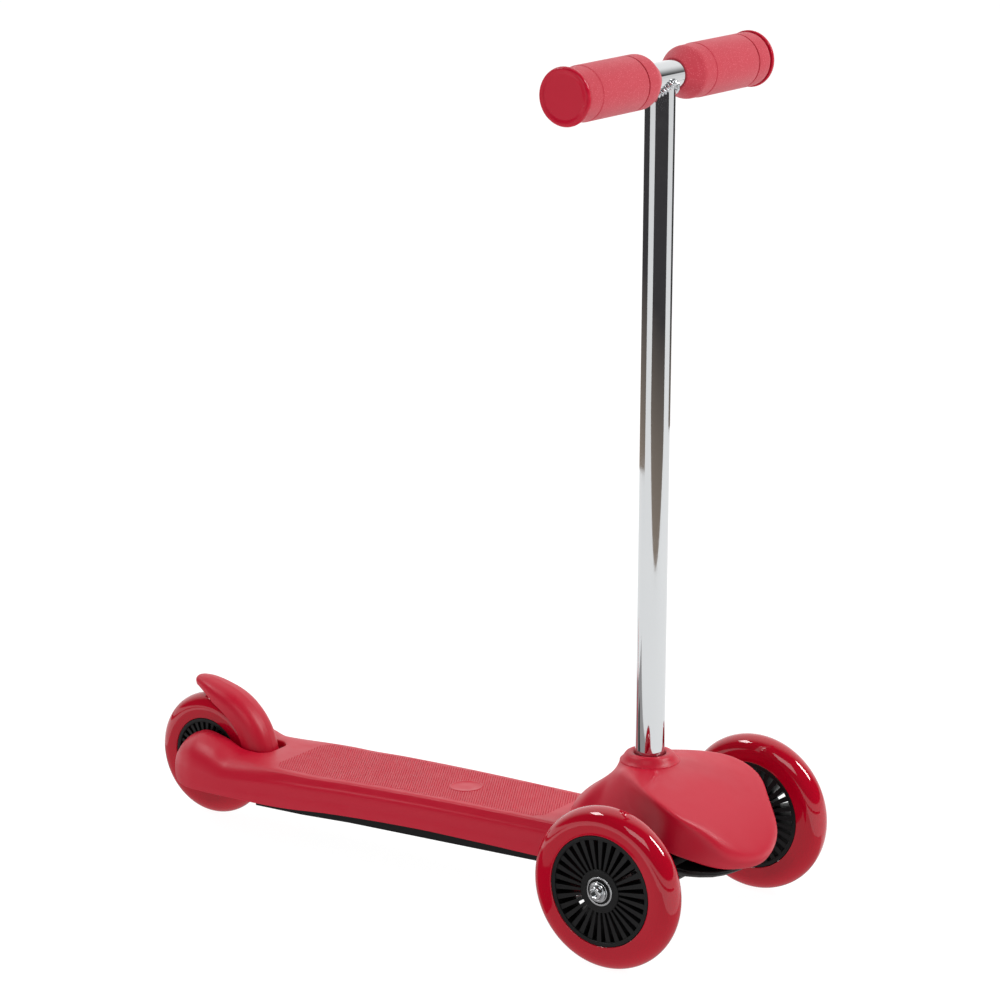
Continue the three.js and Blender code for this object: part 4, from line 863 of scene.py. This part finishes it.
# Torsion spring round the brake's pin
springLook = {"turns": 3.0, "radius": 4.6, "wire": 0.8, "length": 7.2}
look = springLook
springSizes = {"Turns": look["turns"], "Radius": look["radius"] * mm, "Wire": look["wire"] * mm,
               "Length": look["length"] * mm, "Centre": spotOf(brakeLook["pivot"])}
springTree, sizes = newTree("torsion_spring", springSizes)
coil = addNode(springTree, "GeometryNodeCurveSpiral", {
    "Resolution": 40, "Rotations": sizes["Turns"], "Start Radius": sizes["Radius"], "End Radius": sizes["Radius"],
    "Height": sizes["Length"]})
wire = addNode(springTree, "GeometryNodeCurvePrimitiveCircle", {"Resolution": 10, "Radius": sizes["Wire"]})
swept = addNode(springTree, "GeometryNodeCurveToMesh", {"Fill Caps": True, "Curve": coil, "Profile Curve": wire})
lowered = combine(springTree, Z=calc(springTree, "MULTIPLY", sizes["Length"], -0.5))
centred = addNode(springTree, "GeometryNodeTransform", {"Geometry": swept, "Translation": lowered})
across = addNode(springTree, "GeometryNodeTransform", {
    "Rotation": (math.pi / 2, 0, 0), "Geometry": centred, "Translation": sizes["Centre"]})
endTree(springTree, across, sizes)
spring = grown("brake_wound_spring", springTree, springSizes, zincPlate)
spring.data.shade_smooth()
settle(spring, "frame", ["brake_spring"])

# Cross-recessed screws, one piece for all of them
screwLook = {"head": 3.6, "headHeight": 2, "slot": 0.9, "shank": 1.6, "length": 9, "sunk": 0.6}
look = screwLook
screwSizes = {"Head": look["head"] * mm, "Head height": look["headHeight"] * mm, "Slot": look["slot"] * mm,
              "Shank": look["shank"] * mm, "Length": look["length"] * mm}
screwTree, sizes = newTree("cross_screws", screwSizes)
headForm = addNode(screwTree, "GeometryNodeMeshCylinder", {
    "Vertices": 32, "Side Segments": 1, "Radius": sizes["Head"], "Depth": sizes["Head height"]})
cross = addNode(screwTree, "GeometryNodeMeshBoolean", {
    "operation": "DIFFERENCE", "solver": "EXACT", "Mesh 1": headForm})
lift = combine(screwTree, Z=calc(screwTree, "MULTIPLY", sizes["Head height"], -0.55))
for longWay, shortWay in ("XY", "YX"):
    size = combine(screwTree, **{longWay: sizes["Head"], shortWay: sizes["Slot"], "Z": sizes["Head height"]})
    cutter = addNode(screwTree, "GeometryNodeMeshCube", {"Size": size})
    placed = addNode(screwTree, "GeometryNodeTransform", {"Geometry": cutter, "Translation": lift})
    screwTree.links.new(placed.outputs[0], cross.inputs["Mesh 2"])
shankForm = addNode(screwTree, "GeometryNodeMeshCylinder", {
    "Vertices": 20, "Radius": sizes["Shank"], "Depth": sizes["Length"]})
shankUp = addNode(screwTree, "GeometryNodeTransform", {
    "Geometry": shankForm, "Translation": combine(screwTree, Z=calc(screwTree, "MULTIPLY", sizes["Length"], 0.5))})
whole = addNode(screwTree, "GeometryNodeJoinGeometry", {0: cross})
screwTree.links.new(shankUp.outputs[0], whole.inputs[0])
screws = addNode(screwTree, "GeometryNodeInstanceOnPoints", {"Points": sizes["Geometry"], "Instance": whole})
endTree(screwTree, screws, sizes)

# The plate shows a thicker edge than the CAD part's, so its own form is drawn down to this line
plateLook = {"thick": 2.8, "bottom": [(48, 40.2), (116, 39.9), (158, 39.9), (186, 39.9), (200, 39.7), (229, 38.9),
                                      (257, 37.1), (272, 36.5), (301, 34.9), (346, 32.9), (372, 32.3)]}


def plateBase(x):
    look = deckLook
    return look["baseFront"] - look["fall"] * (look["front"] - x) / (look["front"] - look["rear"])


def thickened(point):
    x, z = point.x / mm - middleX, point.z / mm
    top = along(deckLook["edge"], -x) - seat
    share = (plateBase(x) - z) / plateLook["thick"]
    if share < 0:
        point.z = (z + top - plateBase(x)) * mm
    else:
        point.z = (top + (along(plateLook["bottom"], -x) - top) * share) * mm


screwNodes = [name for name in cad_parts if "screw" in name]
screwPlaces = []
for name in screwNodes:
    low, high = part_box(name)
    x, y, z = (low.x + high.x) / 2 / mm - middleX, (low.y + high.y) / 2 / mm, low.z / mm
    if -375 < x < -50 and z < plateBase(x) - 1.5:
        z = along(plateLook["bottom"], -x) + look["sunk"]
    screwPlaces.append((x, y, z + look["headHeight"] / 2))
screwPiece = grown("deck_cross_screws", screwTree, screwSizes, zincPlate, screwPlaces)
settle(screwPiece, "frame", screwNodes)
print("spring and screws made")


# A CAD part's own form with its edges softened
def dressed(node, material, body, edgeMm, reshape=None, sharpDeg=35):
    form = bmesh.new()
    form.from_mesh(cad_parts[node].data)
    bmesh.ops.remove_doubles(form, verts=form.verts, dist=0.002 * mm)
    bmesh.ops.dissolve_limit(form, angle_limit=math.radians(1), verts=form.verts, edges=form.edges)
    if reshape:
        for vertex in form.verts:
            reshape(vertex.co)
    mesh = bpy.data.meshes.new(node + "_dressed")
    form.to_mesh(mesh)
    form.free()
    piece = newObject(node + "_dressed", smoothed(mesh, material, sharpDeg))
    softEdges(piece, edgeMm, 2, sharpDeg)
    return settle(piece, body, [node])


for node, body, edge in (("truck_beam", "truck", 0.8), ("front_frame", "frame", 0.5), ("nose_tray", "frame", 0.8),
                         ("axle_clamp_left", "frame", 0.5), ("axle_clamp_right", "frame", 0.5),
                         ("brake_pad", "brake", 0.3)):
    dressed(node, filledNylon, body, edge)
dressed("bottom_plate", filledNylon, "frame", 0.5, thickened)
for node, body in (("kingpin_bolt", "frame"), ("rear_axle", "frame"), ("brake_pin", "frame"),
                   ("front_axle_nut_left", "truck"), ("front_axle_nut_right", "truck")):
    dressed(node, zincPlate, body, 0.2)

# Rubber buffers, ringed like a bellows, which the beam squeezes when it leans; each keeps a mesh of its own
bufferLook = {"y": 27, "low": 70.3, "high": 97.7, "radius": 8, "waist": 1.0, "keep": 0.78}
look = bufferLook
levels = np.linspace(look["low"], look["high"], 41)
bulge = look["radius"] - look["waist"] * (0.5 - 0.5 * np.cos(np.linspace(0, 8 * math.pi, 41) + math.pi))
bufferSection = [(0, look["low"]), *zip(bulge, levels), (0, look["high"])]
for bufferName, outward in (("left", 1), ("right", -1)):
    buffer = turnedPiece(f"steer_rubber_buffer_{bufferName}", [bufferSection], vulcanisedRubber, "Z",
                         (0, outward * look["y"], 0), 48, 60)
    settle(buffer, "frame", [f"steer_buffer_{bufferName}"])
    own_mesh(buffer)

# Hidden steel parts keep their CAD form
for node in ("stem_thread_insert", "stem_bolt", "front_wheel_left_bearing_spacer",
             "front_wheel_right_bearing_spacer", "rear_wheel_bearing_spacer"):
    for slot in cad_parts[node].material_slots:
        slot.material = zincPlate
print("frame, truck and hardware dressed")

# Studio: a plain white floor, soft lamps overhead and to the right, a dim room, and cards that only
# reflections see, which draw the dark bands in the chrome and darken the low sides. Fades are pairs.
studioLook = {"floor": "#6a6a6a", "floorGlow": 0.95, "floorSize": 60, "horizon": 1.2, "ceiling": 0.08,
              "skyFade": (0.12, 0.17), "backGlow": 1.5, "backWay": (-0.49, 0.70, 0.52), "backFade": (0.35, 0.85),
              "cardNear": "#ab9c8e", "cardFar": "#454345", "cardFade": (0.95, 2.4), "cardEnd": 6.0,
              "cardSide": "#454343", "cardLow": "#b0adad"}
look = studioLook
floorMaterial = bpy.data.materials.new("studio_floor_paper")
floorMaterial.use_nodes = True
floorShader = floorMaterial.node_tree.nodes["Principled BSDF"]
for key, value in {"Base Color": linear(look["floor"]), "Roughness": 0.9, "Emission Color": (1, 1, 1, 1),
                   "Emission Strength": look["floorGlow"]}.items():
    floorShader.inputs[key].default_value = value


def stagePiece(name, corners, faces, material):
    mesh = bpy.data.meshes.new(name)
    mesh.from_pydata(corners, [], faces)
    mesh.materials.append(material)
    piece = newObject(name, mesh)
    return piece


def addCard(name, corners, faces, material):
    card = stagePiece(f"studio_card_{name}", corners, faces, material)
    card.visible_camera = card.visible_diffuse = card.visible_shadow = False


def glowing(tree, colour):
    addNode(tree, "ShaderNodeOutputMaterial", {"Surface": addNode(tree, "ShaderNodeEmission", {"Color": colour})})


reach = look["floorSize"] / 2
stagePiece("studio_floor", [(-reach, -reach, -0.0005), (reach, -reach, -0.0005), (reach, reach, -0.0005),
                            (-reach, reach, -0.0005)], [[0, 1, 2, 3]], floorMaterial)
# The sector cards glow with painted reflections: pale near the stem and fading to dark farther out, a painted
# fall-off of light
paintedReflectionMaterial, cardTree = emptyMaterial("studio_card_painted_reflection")
cardReach = addNode(cardTree, "ShaderNodeVectorMath", {
    "operation": "LENGTH", 0: addNode(cardTree, "ShaderNodeTexCoord").outputs["Object"]})
cardShare = ranged(cardTree, cardReach.outputs["Value"], look["cardFade"])
glowing(cardTree, mixed(cardTree, cardShare, linear(look["cardNear"]), linear(look["cardFar"])))
# Sectors of the floor round the stem: from and to in degrees, and the inner radius in metres
stemX = (barLook["stemX"] + middleX) * mm
cameraTurn = cameraLook["azimuth"] - 90
for cardName, (fromDeg, toDeg, inner) in {"front": (-36, 68, 1.0), "left": (-180, -80, 1.4),
                                          "right": (120, 180, 1.6)}.items():
    corners = []
    for turn in np.radians(np.linspace(fromDeg, toDeg, 25) + cameraTurn):
        lean = turn - math.radians(cameraTurn + 18)
        start = inner / max(0.3, math.cos(lean)) if cardName == "front" else inner
        for distance in (start, look["cardEnd"]):
            corners.append((stemX + distance * math.cos(turn), distance * math.sin(turn), 0.002))
    addCard(cardName, corners, gridFaces(25, 2), paintedReflectionMaterial)
# Plain cards beside and under the deck, in millimetres, that glow as painted reflections: dark beside the deck to
# darken its side, pale under it
for cardName, (fromX, toX, fromY, toY, z) in {"side": (-530, -95, -272, -128, 2),
                                              "low": (-640, 150, -450, 150, 1)}.items():
    greyMaterial, greyTree = emptyMaterial(f"studio_card_grey_{cardName}")
    glowing(greyTree, linear(look["card" + cardName.title()]))
    corners = metres([(fromX, fromY, z), (toX, fromY, z), (toX, toY, z), (fromX, toY, z)])
    addCard(cardName, corners.tolist(), [[0, 1, 2, 3]], greyMaterial)

world = bpy.data.worlds.new("studio")
scene.world = world
world.use_nodes = True
skyTree = world.node_tree
skyTree.nodes.clear()
direction = addNode(skyTree, "ShaderNodeTexCoord").outputs["Generated"]
skyUp = addNode(skyTree, "ShaderNodeSeparateXYZ", {0: direction}).outputs["Z"]
facing = addNode(skyTree, "ShaderNodeVectorMath", {"operation": "DOT_PRODUCT", 0: direction, 1: look["backWay"]})
above = ranged(skyTree, skyUp, look["skyFade"], (look["horizon"], look["ceiling"]), "SMOOTHSTEP")
behind = ranged(skyTree, facing.outputs["Value"], look["backFade"], (0.0, look["backGlow"]), "SMOOTHSTEP")
sky = addNode(skyTree, "ShaderNodeBackground", {"Strength": calc(skyTree, "MAXIMUM", above, behind)})
addNode(skyTree, "ShaderNodeOutputWorld", {"Surface": sky})

# Place in millimetres, width and height in metres, power in watts
lamps = {"right": ((1500, 900, 1900), 0.5, 1.1, 40), "left": ((-1600, -700, 2100), 0.7, 0.5, 14),
         "front": ((500, -2100, 2100), 1.6, 1.0, 14), "fill": ((-300, -2300, 1100), 2.2, 1.4, 4)}
target = spotOf((-middleX, 0, 200))
for lampName, (place, wide, tall, power) in lamps.items():
    lampData = bpy.data.lights.new(f"lamp_{lampName}", "AREA")
    lampData.shape, lampData.size, lampData.size_y, lampData.energy = "RECTANGLE", wide, tall, power
    lamp = newObject(f"lamp_{lampName}", lampData)
    lamp.location = spotOf(place)
    lamp.rotation_euler = (lamp.location - target).to_track_quat("Z", "Y").to_euler()
    if lampName == "fill":
        lamp.visible_glossy = lampData.use_shadow = False
scene.view_settings.view_transform = "Standard"
print("studio made")
